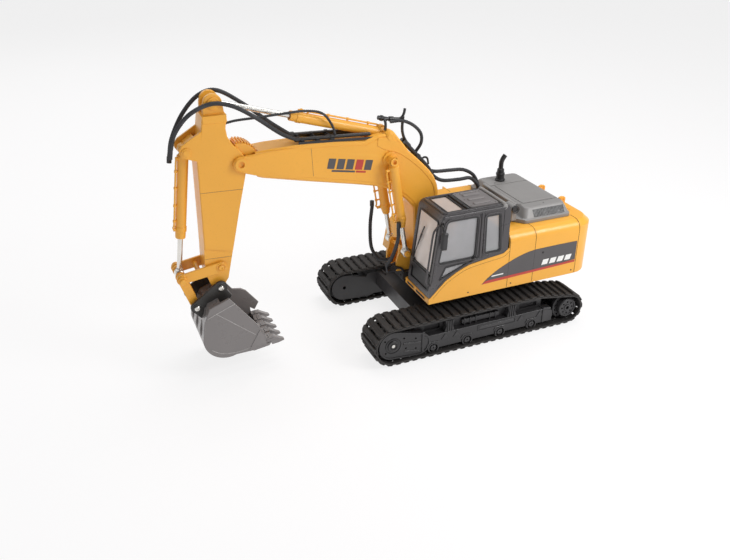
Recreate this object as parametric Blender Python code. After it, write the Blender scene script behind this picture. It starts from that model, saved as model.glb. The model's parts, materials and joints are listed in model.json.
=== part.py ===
"""A radio-controlled toy excavator: tracked undercarriage, slewing house, boom, arm and bucket.

Run it with blender --background --python part.py. The lengths below are in millimetres and the
helpers turn them into metres. The machine's own frame has its origin on the ground under the slew
axis, with the boom towards -X, the cab on the -Y side and +Z up. The whole model is then moved
along +X by SLEW_X, so that the origin ends up at the centre of the model's footprint.
"""
import math

import bmesh
import bpy
from mathutils import Vector

MM = 0.001
GAP = 0.3  # left between pieces that rest on each other
SLEW_X = 88.6  # from the middle of the footprint to the slew axis

# Undercarriage
TRACK_Y = 72.5  # middle of each track
TRACK_WIDTH = 39.0
SHOES = 58
SHOE_RISE = 2.2
LINK_THICKNESS = 2.6
SHOE_SHARE = 0.78  # of the pitch, the rest is the gap between two shoes
IDLER = (-115.7, 24.5)
IDLER_WRAP = 24.5  # outer radius of the track round the idler
SPROCKET = (115.7, 20.5)
SPROCKET_WRAP = 20.5
CARRIER = (72.0, 40.0)  # the bend in the top run
CARRIER_WRAP = 8.5
IDLER_RADIUS = 19.0
SPROCKET_TEETH = 13
SPROCKET_TIP = 15.2
SPROCKET_ROOT = 12.6
ROLLER_X = (-65.7, -22.0, 21.7, 65.2)
ROLLER_Z = 9.9
ROLLER_RADIUS = 4.5
FRAME_INNER = 56.0  # Y of the track frame's two faces
FRAME_OUTER = 88.0
GUARD = 4.0  # thickness of the plates round the idler
BELLY_Z = 14.0

# House
HOUSE_FRONT = -69.7
HOUSE_REAR = 150.0
HOUSE_SIDE = 80.0
HOUSE_BOTTOM = 62.0
HOUSE_TOP = 129.0
WALL = 2.5
SHELL_REAR = 125.0
TAIL_RADIUS = 25.0
CAB_REAR = 28.0
CAB_INNER_Y = -27.0
CAB_ROOF = 166.7
CAB_WALL = 2.3
HOOD_TOP = 144.5

# Pins, as (x, z)
BOOM_FOOT = (-45.0, 90.0)
LIFT_BASE = (-70.0, 100.0)
LIFT_TOP = (-89.0, 212.5)
LIFT_Y = 21.0
ARM_PIN = (-251.5, 229.5)
ARM_CYL_BASE = (-89.0, 237.0)
ARM_CYL_TOP = (-272.0, 290.5)
CURL_TOP = (-303.2, 247.0)
ROCKER_PIN = (-281.0, 121.0)
ROCKER_TIP = (-322.0, 114.6)
BUCKET_PIN = (-284.0, 99.5)
LINK_PIN = (-311.0, 81.0)

BOOM_HALF = 14.5
TIP_HALF = 18.0
ARM_HALF = 14.0
ARM_FOOT_HALF = 12.5
BARREL_RADIUS = 5.9
BORE_RADIUS = 5.0
ROD_RADIUS = 2.6
PIN_HOLE = 2.8
HOSE_RADIUS = 2.2
BUCKET_HALF = 33.0

YELLOW = (0.86, 0.43, 0.06)
CHARCOAL = (0.055, 0.05, 0.055)
BLACK = (0.022, 0.021, 0.022)
GREY = (0.18, 0.165, 0.16)
BUCKET_GREY = (0.22, 0.2, 0.2)
STEEL = (0.72, 0.72, 0.7)


def clear_scene():
    for obj in list(bpy.data.objects):
        bpy.data.objects.remove(obj)


def material(name, colour, roughness=0.4, metallic=0.0, alpha=1.0):
    made = bpy.data.materials.new(name)
    made.use_nodes = True
    shader = made.node_tree.nodes["Principled BSDF"]
    shader.inputs["Base Color"].default_value = (*colour, 1.0)
    shader.inputs["Roughness"].default_value = roughness
    shader.inputs["Metallic"].default_value = metallic
    shader.inputs["Alpha"].default_value = alpha
    made.diffuse_color = (*colour, alpha)
    return made


# ---- outlines: lists of (a, b) points in a plane ----


def arc(centre, radius, start, end, steps=8):
    """Points round a circle, from one angle in degrees to another."""
    turn = [math.radians(start + (end - start) * i / steps) for i in range(steps + 1)]
    return [(centre[0] + radius * math.cos(a), centre[1] + radius * math.sin(a)) for a in turn]


def circle(centre, radius, sides):
    return arc(centre, radius, 0, 360, sides)[:-1]


def rectangle(low, high):
    return [low, (high[0], low[1]), high, (low[0], high[1])]


def rounded(points, radius, steps=3):
    """The outline with each corner cut back by the radius and rounded."""
    done = []
    for i, corner in enumerate(points):
        here = Vector(corner)
        before = (Vector(points[i - 1]) - here).normalized()
        after = (Vector(points[(i + 1) % len(points)]) - here).normalized()
        for j in range(steps + 1):
            t = j / steps
            bend = here + before * radius * (1 - t) ** 2 + after * radius * t**2
            done.append(tuple(bend))
    return done


def capsule(first, second, radius, sides=12, second_radius=None):
    """The outline round two circles, joined by their outer tangents."""
    far = radius if second_radius is None else second_radius
    line = Vector(second) - Vector(first)
    lean = math.degrees(math.acos((radius - far) / line.length))
    turn = math.degrees(math.atan2(line.y, line.x))
    return arc(second, far, turn - lean, turn + lean, sides // 2) + arc(
        first, radius, turn + lean, turn + 360 - lean, sides // 2
    )


def belt_path(circles):
    """The arcs (centre, radius, arrive, leave) of a belt round circles (x, z, radius)."""
    pieces = []
    count = len(circles)
    tangents = []
    for i in range(count):
        x0, z0, r0 = circles[i]
        x1, z1, r1 = circles[(i + 1) % count]
        span = math.hypot(x1 - x0, z1 - z0)
        along = math.atan2(z1 - z0, x1 - x0)
        tangents.append(along + math.pi / 2 + math.asin((r1 - r0) / span))
    for i in range(count):
        x, z, r = circles[i]
        arrive = tangents[i - 1]
        leave = tangents[i]
        while leave > arrive:
            leave -= 2 * math.pi
        pieces.append(((x, z), r, arrive, leave))
    return pieces


def on_belt(circles, offset, distance):
    """The point at a distance along the belt's path and an offset outwards from it."""
    left = distance % belt_length(circles)
    pieces = belt_path(circles)
    for i, (centre, radius, arrive, leave) in enumerate(pieces):
        bend = radius * (arrive - leave)
        if left <= bend:
            return polar(centre, radius + offset, arrive - left / radius)
        left -= bend
        run = straight_run(pieces, i)
        if left <= run:
            base = polar(centre, radius + offset, leave)
            return (base[0] + left * math.sin(leave), base[1] - left * math.cos(leave))
        left -= run
    return polar(pieces[0][0], pieces[0][1] + offset, pieces[0][2])


def belt_length(circles):
    pieces = belt_path(circles)
    bends = sum(radius * (arrive - leave) for _, radius, arrive, leave in pieces)
    return bends + sum(straight_run(pieces, i) for i in range(len(pieces)))


def straight_run(pieces, i):
    """The length of the belt between one arc and the next."""
    centre, radius, _, leave = pieces[i]
    after, after_radius, _, _ = pieces[(i + 1) % len(pieces)]
    return math.dist(polar(centre, radius, leave), polar(after, after_radius, leave))


def polar(centre, radius, angle):
    return (centre[0] + radius * math.cos(angle), centre[1] + radius * math.sin(angle))


# ---- solids: bmeshes in the machine's frame, in millimetres ----


def place(axis, a, b, along):
    return {"X": (along, a, b), "Y": (a, along, b), "Z": (a, b, along)}[axis]


def prism(outline, low, high, axis="Y"):
    """An outline pushed from low to high along an axis. Along Y it is drawn as (x, z)."""
    mesh = bmesh.new()
    near = [mesh.verts.new(place(axis, a, b, low)) for a, b in outline]
    far = [mesh.verts.new(place(axis, a, b, high)) for a, b in outline]
    mesh.faces.new(near)
    mesh.faces.new(far[::-1])
    for i in range(len(near)):
        j = (i + 1) % len(near)
        mesh.faces.new((near[i], near[j], far[j], far[i]))
    bmesh.ops.recalc_face_normals(mesh, faces=mesh.faces)
    return mesh


def box(low, high):
    return prism(rectangle(low[:2], high[:2]), low[2], high[2], "Z")


def taper(low_outline, high_outline, low, high):
    """A solid between two outlines of the same number of points, at two heights."""
    mesh = bmesh.new()
    near = [mesh.verts.new((a, b, low)) for a, b in low_outline]
    far = [mesh.verts.new((a, b, high)) for a, b in high_outline]
    mesh.faces.new(near)
    mesh.faces.new(far[::-1])
    for i in range(len(near)):
        j = (i + 1) % len(near)
        mesh.faces.new((near[i], near[j], far[j], far[i]))
    bmesh.ops.recalc_face_normals(mesh, faces=mesh.faces)
    return mesh


def turned(start, end, profile, sides=16):
    """A solid of rings (distance along, radius) from start towards end."""
    begin = Vector(start)
    along = (Vector(end) - begin).normalized()
    side = along.orthogonal().normalized()
    other = along.cross(side)
    mesh = bmesh.new()
    rings = []
    for distance, radius in profile:
        centre = begin + along * distance
        ring = []
        for i in range(sides):
            a = 2 * math.pi * (i + 0.5) / sides
            offset = side * (radius * math.cos(a)) + other * (radius * math.sin(a))
            ring.append(mesh.verts.new(centre + offset))
        rings.append(ring)
    for first, second in zip(rings, rings[1:]):
        for i in range(sides):
            j = (i + 1) % sides
            mesh.faces.new((first[i], first[j], second[j], second[i]))
    mesh.faces.new(rings[0][::-1])
    mesh.faces.new(rings[-1])
    bmesh.ops.recalc_face_normals(mesh, faces=mesh.faces)
    return mesh


def rod(start, end, radius, sides=16):
    return turned(start, end, [(0, radius), (math.dist(start, end), radius)], sides)


def pin(place_xz, low, high, radius, sides=12):
    """A round pin along Y."""
    return rod((place_xz[0], low, place_xz[1]), (place_xz[0], high, place_xz[1]), radius, sides)


def mirrored(mesh):
    """The solid reflected to the machine's other side."""
    for vert in mesh.verts:
        vert.co.y = -vert.co.y
    bmesh.ops.reverse_faces(mesh, faces=mesh.faces)
    return mesh


# ---- objects ----


class Pivot:
    """A parent empty on a joint's axis, at a point of the machine's frame."""

    def __init__(self, name, at, parent=None):
        self.at = Vector(at)
        self.empty = bpy.data.objects.new(name, None)
        self.empty.empty_display_size = 0.01
        bpy.context.collection.objects.link(self.empty)
        if parent:
            self.empty.parent = parent.empty
            self.empty.location = (self.at - parent.at) * MM
        else:
            self.empty.location = (self.at + Vector((SLEW_X, 0, 0))) * MM


def mesh_object(name, solid, pivot, surface=None):
    for vert in solid.verts:
        vert.co = (vert.co - pivot.at) * MM
    mesh = bpy.data.meshes.new(name)
    solid.to_mesh(mesh)
    solid.free()
    obj = bpy.data.objects.new(name, mesh)
    bpy.context.collection.objects.link(obj)
    obj.parent = pivot.empty
    if surface:
        mesh.materials.append(surface)
        mesh.shade_smooth()
        mesh.set_sharp_from_angle(angle=math.radians(35))
    return obj


def joined(*pieces):
    return [("UNION", piece) for piece in pieces]


def cut(*pieces):
    return [("DIFFERENCE", piece) for piece in pieces]


def node(name, surface, pivot, solid, steps=()):
    """One sub-part: a solid, with other solids joined to it or cut from it in turn."""
    obj = mesh_object(name, solid, pivot, surface)
    for i, (operation, piece) in enumerate(steps):
        tool = mesh_object(f"tool_{name}_{i}", piece, pivot)
        tool.hide_render = True
        tool.display_type = "WIRE"
        modifier = obj.modifiers.new(operation.title(), "BOOLEAN")
        modifier.operation = operation
        modifier.solver = "EXACT"
        modifier.object = tool
    return obj


def hose(name, surface, pivot, route, radius, points):
    """A round hose along a smooth curve through the route."""
    data = bpy.data.curves.new(name, "CURVE")
    data.dimensions = "3D"
    data.bevel_depth = radius * MM
    data.bevel_resolution = 2
    data.use_fill_caps = True
    data.materials.append(surface)
    spline = data.splines.new("POLY")
    spline.points.add(points - 1)
    for i, point in enumerate(spline.points):
        where = on_curve(route, i / (points - 1))
        point.co = (*((where - pivot.at) * MM), 1.0)
    obj = bpy.data.objects.new(name, data)
    bpy.context.collection.objects.link(obj)
    obj.parent = pivot.empty
    return obj


def on_curve(route, share):
    """A point on the Catmull-Rom curve through the route, by share of its knots."""
    knots = [Vector(p) for p in route]
    where = share * (len(knots) - 1)
    i = min(int(where), len(knots) - 2)
    t = where - i
    p1 = knots[i]
    p2 = knots[i + 1]
    p0 = knots[i - 1] if i else 2 * p1 - p2
    p3 = knots[i + 2] if i + 2 < len(knots) else 2 * p2 - p1
    bend = 2 * p1 + (p2 - p0) * t + (2 * p0 - 5 * p1 + 4 * p2 - p3) * t**2
    return (bend + (3 * p1 - p0 - 3 * p2 + p3) * t**3) / 2


# ---- undercarriage ----


def belt_circles(inset):
    return [
        (*IDLER, IDLER_WRAP - inset),
        (*CARRIER, CARRIER_WRAP - inset),
        (*SPROCKET, SPROCKET_WRAP - inset),
    ]


def track_belt(side):
    """The rubber track: one link band with a raised shoe on each link."""
    circles = belt_circles(SHOE_RISE)
    pitch = belt_length(circles) / SHOES
    outer = []
    inner = []
    for i in range(SHOES):
        for at, rise in ((0, 0), (0, SHOE_RISE), (SHOE_SHARE, SHOE_RISE), (SHOE_SHARE, 0)):
            outer.append(on_belt(circles, rise, (i + at) * pitch))
        for at in (0, SHOE_SHARE):
            inner.append(on_belt(circles, -LINK_THICKNESS, (i + at) * pitch))
    low = side * TRACK_Y - TRACK_WIDTH / 2
    high = side * TRACK_Y + TRACK_WIDTH / 2
    mesh = bmesh.new()
    out_low, out_high = belt_rails(mesh, outer, low, high)
    in_low, in_high = belt_rails(mesh, inner[::-1], low, high)
    in_low.reverse()
    in_high.reverse()
    for out, ins in ((out_low, in_low), (out_high, in_high)):
        for i in range(SHOES):
            after = (i + 1) % SHOES
            shoe = out[4 * i : 4 * i + 4]
            mesh.faces.new((ins[2 * i + 1], ins[2 * i], *shoe))
            mesh.faces.new((ins[2 * after], ins[2 * i + 1], shoe[3], out[4 * after]))
    bmesh.ops.recalc_face_normals(mesh, faces=mesh.faces)
    return mesh


def belt_rails(mesh, outline, low, high):
    """A closed strip along the outline, from one edge of the track to the other."""
    near = [mesh.verts.new((x, low, z)) for x, z in outline]
    far = [mesh.verts.new((x, high, z)) for x, z in outline]
    for i in range(len(near)):
        j = (i + 1) % len(near)
        mesh.faces.new((near[i], near[j], far[j], far[i]))
    return near, far


def track_frame():
    """The near side frame: two plates round the idler, the roller guard and the gearbox plate."""
    guard = capsule(IDLER, (-84.0, 19.5), 17.0, 16, 14.0)
    inner = prism(guard, -FRAME_INNER - GUARD, -FRAME_INNER)
    outer = prism(guard, -FRAME_OUTER, -FRAME_OUTER + GUARD)
    axle = pin(IDLER, -FRAME_OUTER + 2, -FRAME_INNER - 2, 3.4)
    low_beam = [(-80.0, 8.3), (94.0, 8.3), (94.0, 22.0), (80.0, 26.5), (-80.0, 26.5)]
    beam = prism(low_beam, -FRAME_OUTER, -FRAME_INNER)
    post = prism(rectangle((-92.0, 20.0), (-79.0, 33.5)), -FRAME_OUTER, -FRAME_INNER)
    top = [(-90.0, 25.0), (82.0, 25.0), (82.0, 36.0), (66.0, 38.5), (-84.0, 38.5)]
    upper = prism(top, -FRAME_OUTER + 8, -FRAME_INNER)
    case = capsule(SPROCKET, (80.0, 20.0), 14.0, 16, 11.0)
    gearbox = prism(case, -FRAME_INNER - GUARD, -FRAME_INNER)
    shaft = pin(SPROCKET, -FRAME_OUTER + 6, -FRAME_INNER - 3, 4.0)
    guides = [
        prism(rectangle((x - 4.5, 24.0), (x + 4.5, 41.5)), -FRAME_OUTER + 2, -FRAME_INNER - 6)
        for x in (-45.0, 37.0)
    ]
    cuts = [pin(IDLER, -FRAME_OUTER - 1, -FRAME_INNER + 1, 2.0)]
    for x in ROLLER_X:
        pocket = (-FRAME_OUTER - 1, -FRAME_OUTER + 14)
        cuts.append(pin((x, ROLLER_Z), *pocket, ROLLER_RADIUS + 0.7, 16))
        cuts.append(box((x - 3.6, pocket[0], 0), (x + 3.6, pocket[1], ROLLER_Z)))
    return inner, [outer, axle, beam, post, upper, gearbox, shaft, *guides], cuts


def sprocket_outline():
    """Teeth as (share of the pitch, radius) corners, repeated round the sprocket."""
    tooth = [(0, SPROCKET_ROOT), (0.3, SPROCKET_ROOT), (0.42, SPROCKET_TIP), (0.88, SPROCKET_TIP)]
    pitch = 2 * math.pi / SPROCKET_TEETH
    return [
        polar(SPROCKET, radius, pitch * (i + share))
        for i in range(SPROCKET_TEETH)
        for share, radius in tooth
    ]


def build_track_side(side, root, look):
    name = "left" if side < 0 else "right"
    flip = (lambda solid: solid) if side < 0 else mirrored
    node(f"track_belt_{name}", look["track"], root, track_belt(side))
    base, adds, cuts = track_frame()
    steps = joined(*map(flip, adds)) + cut(*map(flip, cuts))
    node(f"track_frame_{name}", look["frame"], root, flip(base), steps)
    idler = Pivot(f"idler_axis_{name}", (IDLER[0], side * TRACK_Y, IDLER[1]), root)
    wheel = turned(
        (IDLER[0], -FRAME_OUTER + 4.6, IDLER[1]),
        (IDLER[0], -FRAME_INNER - 4.6, IDLER[1]),
        [(0, 8), (0.8, 8), (0.8, IDLER_RADIUS), (22.0, IDLER_RADIUS), (22.0, 8), (22.8, 8)],
        24,
    )
    node(f"idler_{name}", look["wheel"], idler, flip(wheel), cut(flip(pin(IDLER, -100, -40, 4.0))))
    drive = Pivot(f"sprocket_axis_{name}", (SPROCKET[0], side * TRACK_Y, SPROCKET[1]), root)
    teeth = prism(sprocket_outline(), -82.0, -64.0)
    hub = pin(SPROCKET, -89.0, -61.0, 11.5, 24)
    bore = pin(SPROCKET, -82.6, -50.0, 4.6)
    node(f"sprocket_{name}", look["wheel"], drive, flip(teeth), joined(flip(hub)) + cut(flip(bore)))
    for i, x in enumerate(ROLLER_X):
        axis = Pivot(f"roller_axis_{name}_{i + 1}", (x, side * TRACK_Y, ROLLER_Z), root)
        solid = pin((x, ROLLER_Z), -FRAME_OUTER + 0.4, -FRAME_OUTER + 13.4, ROLLER_RADIUS)
        node(f"roller_{name}_{i + 1}", look["wheel"], axis, flip(solid))


def build_chassis(root, look):
    plan = [(-72, -55.7), (-38, -55.7), (-30, -40), (30, -40), (46, -55.7), (84, -55.7)]
    plan += [(x, -y) for x, y in plan[::-1]]
    frame = prism(plan, BELLY_Z + 6, 40.0, "Z")
    dome = turned((0, 0, 38), (0, 0, 60), [(0, 46), (6, 46), (10.0, 36), (15.0, 36)], 32)
    arch_front = pin((-55.0, 12.0), -40, 40, 14.0, 16)
    arch_rear = pin((65.0, 12.0), -40, 40, 14.0, 16)
    bay = box((-26, -30, 0), (30, 30, 36))
    node("chassis_frame", look["frame"], root, frame, joined(dome) + cut(arch_front, arch_rear, bay))
    plate = box((-25.7, -29.7, BELLY_Z + 3), (29.7, 29.7, BELLY_Z + 5.7))
    slot = box((-4, 17, 0), (8, 22, 40))
    node("belly_cover", look["frame"], root, plate, cut(slot))
    ring = turned((0, 0, 53.4), (0, 0, 60), [(0, 33), (3.6, 33)], 32)
    node("slew_ring", look["steel"], root, ring, cut(rod((0, 0, 50), (0, 0, 60), 26, 32)))
    switch = Pivot("power_switch_slide", (-1.0, 19.5, BELLY_Z + 6), root)
    knob = box((-3.5, 17.5, BELLY_Z + 6.2), (1.5, 21.5, BELLY_Z + 9.0))
    nub = box((-2.0, 18.4, BELLY_Z + 1.6), (0.0, 20.6, BELLY_Z + 7))
    node("power_switch", look["wheel"], switch, knob, joined(nub))


# ---- house ----


def swoop(lift=0.0):
    """The upper edge of the near side panel under the cab, from front to rear."""
    knots = [(-68.4, 69.0), (-60, 77.2), (-50, 87.0), (-36, 95.6), (-20.8, 101.6)]
    knots += [(5, 105.2), (23, 107.4), (CAB_REAR + 2.3, 113.0)]
    return [(x, z + lift) for x, z in knots]


def shell_section(side_top):
    """The wall and rounded top of a side shell, as (y, z), for the near side."""
    y = -HOUSE_SIDE
    outer = [(y, HOUSE_BOTTOM), (y, side_top - 11)]
    outer += arc((y + 11, side_top - 11), 11, 180, 90, 4)[1:] + [(-0.2, side_top)]
    inner = [(-0.2, side_top - WALL)] + arc((y + 11, side_top - 11), 11 - WALL, 90, 180, 4)
    return outer + inner + [(y + WALL, HOUSE_BOTTOM)]


def front_strip():
    return box((HOUSE_FRONT, -HOUSE_SIDE, HOUSE_BOTTOM), (HOUSE_FRONT + 3, -22.0, 68.7))


def shell_left():
    """The near side shell: a low panel under the cab and a tall one behind it."""
    rear = prism(shell_section(HOUSE_TOP), CAB_REAR + 2.3, SHELL_REAR - GAP, "X")
    low = [(HOUSE_FRONT, HOUSE_BOTTOM), (HOUSE_FRONT, 68.7)] + swoop()
    low += [(CAB_REAR + 4, 113.0), (CAB_REAR + 4, HOUSE_BOTTOM)]
    panel = prism(low, -HOUSE_SIDE, -HOUSE_SIDE + WALL)
    bay = box((CAB_REAR - 5, -21, HOUSE_TOP - 8), (57.0, 1, HOUSE_TOP + 9))
    hood_bay = box((62.0, -56, HOUSE_TOP - 8), (120.0, 1, HOUSE_TOP + 9))
    return rear, [panel, front_strip()], [bay, hood_bay]


def shell_right():
    """The far side shell: a low box beside the boom and a tall part behind it."""
    rear = mirrored(prism(shell_section(HOUSE_TOP), CAB_REAR + 2.3, SHELL_REAR - GAP, "X"))
    side = [(-53, HOUSE_BOTTOM), (-47, 94), (-40, 102), (-8, 104), (2, 114), (6, HOUSE_TOP - 6)]
    side += [(12, HOUSE_TOP), (CAB_REAR + 4, HOUSE_TOP), (CAB_REAR + 4, HOUSE_BOTTOM)]
    tank = prism(side, 22.0, HOUSE_SIDE)
    inner = [(-50.5, HOUSE_BOTTOM - 1), (-44.8, 92.8), (-39, 99.5), (-7, 101.5), (4.3, 112.8)]
    inner += [(8.3, HOUSE_TOP - 7), (13, HOUSE_TOP - WALL)]
    inner += [(60, HOUSE_TOP - WALL), (60, HOUSE_BOTTOM - 1)]
    hollow = prism(inner, 24.5, HOUSE_SIDE - WALL)
    bay = box((CAB_REAR - 5, -1, HOUSE_TOP - 8), (57.0, 21, HOUSE_TOP + 9))
    hood_bay = box((62.0, -1, HOUSE_TOP - 8), (120.0, 56, HOUSE_TOP + 9))
    edge = [(HOUSE_SIDE - 8, HOUSE_TOP + 1), (HOUSE_SIDE + 1, HOUSE_TOP + 1)]
    edge.append((HOUSE_SIDE + 1, HOUSE_TOP - 8))
    corner = prism(edge, 8.0, CAB_REAR + 2.3, "X")
    over_deck = box((-48, 21, HOUSE_BOTTOM - 1), (CAB_REAR + 5, 26, 66.2))
    return rear, [tank], [hollow, bay, hood_bay, corner, over_deck]


def counterweight():
    side = HOUSE_SIDE
    turn = (HOUSE_REAR - TAIL_RADIUS, side - TAIL_RADIUS)
    plan = [(SHELL_REAR, -side)] + arc((turn[0], -turn[1]), TAIL_RADIUS, -90, 0, 6)[1:]
    plan += arc(turn, TAIL_RADIUS, 0, 90, 6)[:-1] + [(SHELL_REAR, side)]
    inset = 7.0
    turn_in = TAIL_RADIUS - inset
    top = [(SHELL_REAR, -side + inset)] + arc((turn[0], -turn[1]), turn_in, -90, 0, 6)[1:]
    top += arc(turn, turn_in, 0, 90, 6)[:-1] + [(SHELL_REAR, side - inset)]
    body = prism(plan, HOUSE_BOTTOM, HOUSE_TOP - 6, "Z")
    crown = taper(plan, top, HOUSE_TOP - 6.5, HOUSE_TOP)
    lug = rounded(rectangle((136.0, HOUSE_TOP - 2), (145.0, HOUSE_TOP + 6)), 2.5)
    lugs = [prism(lug, y - 1.6, y + 1.6) for y in (-21.0, 21.0)]
    return body, [crown, *lugs]


def cab_outline(inset, bottom):
    """The cab's side view, with its walls moved in by the inset."""
    roof = CAB_ROOF - inset
    rear = CAB_REAR - inset
    front = [(-69.0, 76.0), (-67.5, 88.0), (-60.5, 146.0), (-57.3, roof - 4), (-52.5, roof)]
    back = [(rear - 8, roof), (rear - 2, roof - 4), (rear, roof - 11)]
    return [(x + inset, z) for x, z in front] + back + bottom


def cab_frame():
    low = [(CAB_REAR, 111.6)] + swoop(GAP)[-2::-1] + [(-69.2, 69.3)]
    body = prism(cab_outline(0, low), -HOUSE_SIDE + 0.3, CAB_INNER_Y)
    deep = [(CAB_REAR - CAB_WALL, 60.0), (-69.2 + CAB_WALL, 60.0)]
    hollow = prism(cab_outline(CAB_WALL, deep), -HOUSE_SIDE + 0.3 + CAB_WALL, CAB_INNER_Y - CAB_WALL)
    door = rounded([(-56.0, 112.5), (-47.5, 158.0), (-12.8, 158.0), (-13.8, 112.5)], 4)
    small = rounded([(-2.0, 112.0), (-3.2, 157.0), (14.5, 157.0), (18.0, 112.0)], 3)
    low_light = rounded([(-57.5, 90.0), (-50.5, 104.5), (-17.0, 106.5), (-35.0, 99.0)], 1.0, 2)
    far_light = rounded([(-56.0, 100.0), (-47.5, 158.0), (-8.0, 158.0), (-8.0, 100.0)], 4)
    near_y = (-HOUSE_SIDE - 2, -HOUSE_SIDE + 5)
    far_y = (CAB_INNER_Y - 5, CAB_INNER_Y + 2)
    left = -HOUSE_SIDE + 5.5
    right = CAB_INNER_Y - 5.5
    cuts = [hollow, prism(door, *near_y), prism(small, *near_y), prism(low_light, *near_y)]
    cuts.append(prism(far_light, *far_y))
    cuts.append(prism(rounded(rectangle((left, 97.0), (right, 158.0)), 3), -80, -50, "X"))
    cuts.append(prism(rounded(rectangle((left, 76.0), (right, 91.0)), 2), -80, -60, "X"))
    cuts.append(prism(rounded(rectangle((left, 118.0), (right, 154.0)), 3), 20, 40, "X"))
    sky = rounded(rectangle((-49.0, left), (-28.0, right)), 2)
    cuts.append(prism(sky, CAB_ROOF - 8, CAB_ROOF + 3, "Z"))
    return body, cuts


def cab_glazing():
    inset = CAB_WALL + GAP
    near = -HOUSE_SIDE + 0.3 + inset
    far = CAB_INNER_Y - inset
    skirt = [(CAB_REAR - inset, 70.0), (-69.2 + inset, 70.0)]
    body = prism(cab_outline(inset, skirt), near, far)
    deep = [(CAB_REAR - inset - 1, 60.0), (-69.2 + inset + 1, 60.0)]
    hollow = prism(cab_outline(inset + 1, deep), near + 1, far - 1)
    return body, [hollow]


def build_house(root, look):
    slew = Pivot("slew_axis", (0, 0, 58), root)
    deck = box((-66.0, -77.0, HOUSE_BOTTOM + 0.4), (SHELL_REAR - GAP, 77.0, 65.6))
    turntable = rod((0, 0, 57.4), (0, 0, 64), 33, 32)
    block = box((-71.5, -20.0, HOUSE_BOTTOM + 0.4), (-56.0, 20.0, 74.0))
    hole = rod((0, 0, 50), (0, 0, 70), 6, 16)
    far_corner = box((-80, 21.7, 60), (-40, 81, 70))
    node("house_deck", look["frame"], slew, deck, joined(turntable, block) + cut(hole, far_corner))
    base, adds, cuts = shell_left()
    node("shell_left", look["yellow"], slew, base, joined(*adds) + cut(*cuts))
    base, adds, cuts = shell_right()
    node("shell_right", look["yellow"], slew, base, joined(*adds) + cut(*cuts))
    base, adds = counterweight()
    node("counterweight", look["yellow"], slew, base, joined(*adds))
    hood_low = rounded(rectangle((59.0, -62.0), (124.0, 62.0)), 6)
    hood_high = rounded(rectangle((66.0, -51.0), (120.0, 51.0)), 6)
    hood = taper(hood_low, hood_high, HOUSE_TOP + GAP + 3, HOOD_TOP)
    brim = prism(hood_low, HOUSE_TOP + GAP, HOUSE_TOP + GAP + 3.2, "Z")
    under_low = rounded(rectangle((61.5, -59.5), (121.5, 59.5)), 5)
    under_high = rounded(rectangle((68.0, -49.0), (118.0, 49.0)), 5)
    under = taper(under_low, under_high, HOUSE_TOP - 1, HOOD_TOP - WALL)
    node("engine_hood", look["grey"], slew, brim, joined(hood) + cut(under))
    rings = [(0, 5.2), (6, 4.2), (11, 3.4), (22, 2.8)]
    stack = turned((87, 36, HOOD_TOP + GAP), (87, 36, 190), rings, 12)
    bend = rod((87, 36, HOOD_TOP + 20), (91, 36, HOOD_TOP + 31), 2.6, 12)
    node("exhaust_stack", look["black"], slew, stack, joined(bend))
    cleaner = rod((50.0, -63.0, 146.5), (50.0, -49.0, 146.5), 4.2, 16)
    foot = box((47.0, -61.0, HOUSE_TOP + GAP), (53.0, -52.0, 145.0))
    node("air_cleaner", look["black"], slew, cleaner, joined(foot))
    build_cab(slew, look)
    plates = [prism(foot_plate(), y - 1.7, y + 1.7) for y in (-13.3, 13.3)]
    base = box((-78.0, -15.0, 74.4), (-34.0, 15.0, 77.5))
    pins = [pin(BOOM_FOOT, -14.0, 14.0, 2.6), pin(LIFT_BASE, -26.0, 26.0, 2.2)]
    leg = box((-55.5, -15.0, 66.0), (-34.0, 15.0, 76.0))
    node("boom_bracket", look["yellow"], slew, base, joined(*plates, leg, *pins))
    motor = rod((14, 0, 66), (14, 0, 108), 11, 16)
    node("slew_motor", look["steel"], slew, motor)
    board = box((40, -62, 70), (104, 62, 72))
    chips = box((56, -30, 71.5), (80, -6, 76))
    node("circuit_board", look["board"], slew, board, joined(chips))
    return slew


def foot_plate():
    outline = [(-78.0, 74.4), (-34.0, 74.4), (-35.0, 90.0)]
    outline += arc(BOOM_FOOT, 8, 0, 90, 4)
    outline += [(-58.0, 98.0)] + arc(LIFT_BASE, 5.5, 60, 200, 4) + [(-78.0, 88.0)]
    return outline


def build_cab(slew, look):
    base, cuts = cab_frame()
    node("cab_frame", look["charcoal"], slew, base, cut(*cuts))
    base, cuts = cab_glazing()
    node("cab_glazing", look["glass"], slew, base, cut(*cuts))
    roof = rounded(rectangle((-24.0, -73.0), (18.0, -33.0)), 2)
    ribs = [
        box((-13, y, CAB_ROOF + 1), (8, y + 5, CAB_ROOF + 2.4)) for y in (-69.4, -57.4, -45.4)
    ]
    plate = prism(roof, CAB_ROOF + GAP, CAB_ROOF + 1.6, "Z")
    node("cab_roof_plate", look["charcoal"], slew, plate, joined(*ribs))
    cushion = box((-36.0, -66.0, 66.0), (-8.0, -40.0, 84.0))
    back = prism([(-14.0, 82.0), (-7.0, 82.0), (-1.0, 122.0), (-7.0, 122.0)], -65.0, -41.0)
    node("cab_seat", look["frame"], slew, cushion, joined(back))
    post = box((-60.0, -62.0, 66.0), (-50.0, -44.0, 92.0))
    levers = [rod((-55, y, 90), (-50, y, 106), 1.2, 8) for y in (-60, -46)]
    node("cab_console", look["frame"], slew, post, joined(*levers))
    glass = box((-61.0, -88.5, 128.0), (-56.0, -86.5, 146.0))
    stalk = rod((-59.0, -87.6, 142.0), (-58.5, -80.9, 150.0), 1.1, 8)
    node("cab_mirror", look["black"], slew, glass, joined(stalk))


# ---- boom, arm and bucket ----


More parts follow.
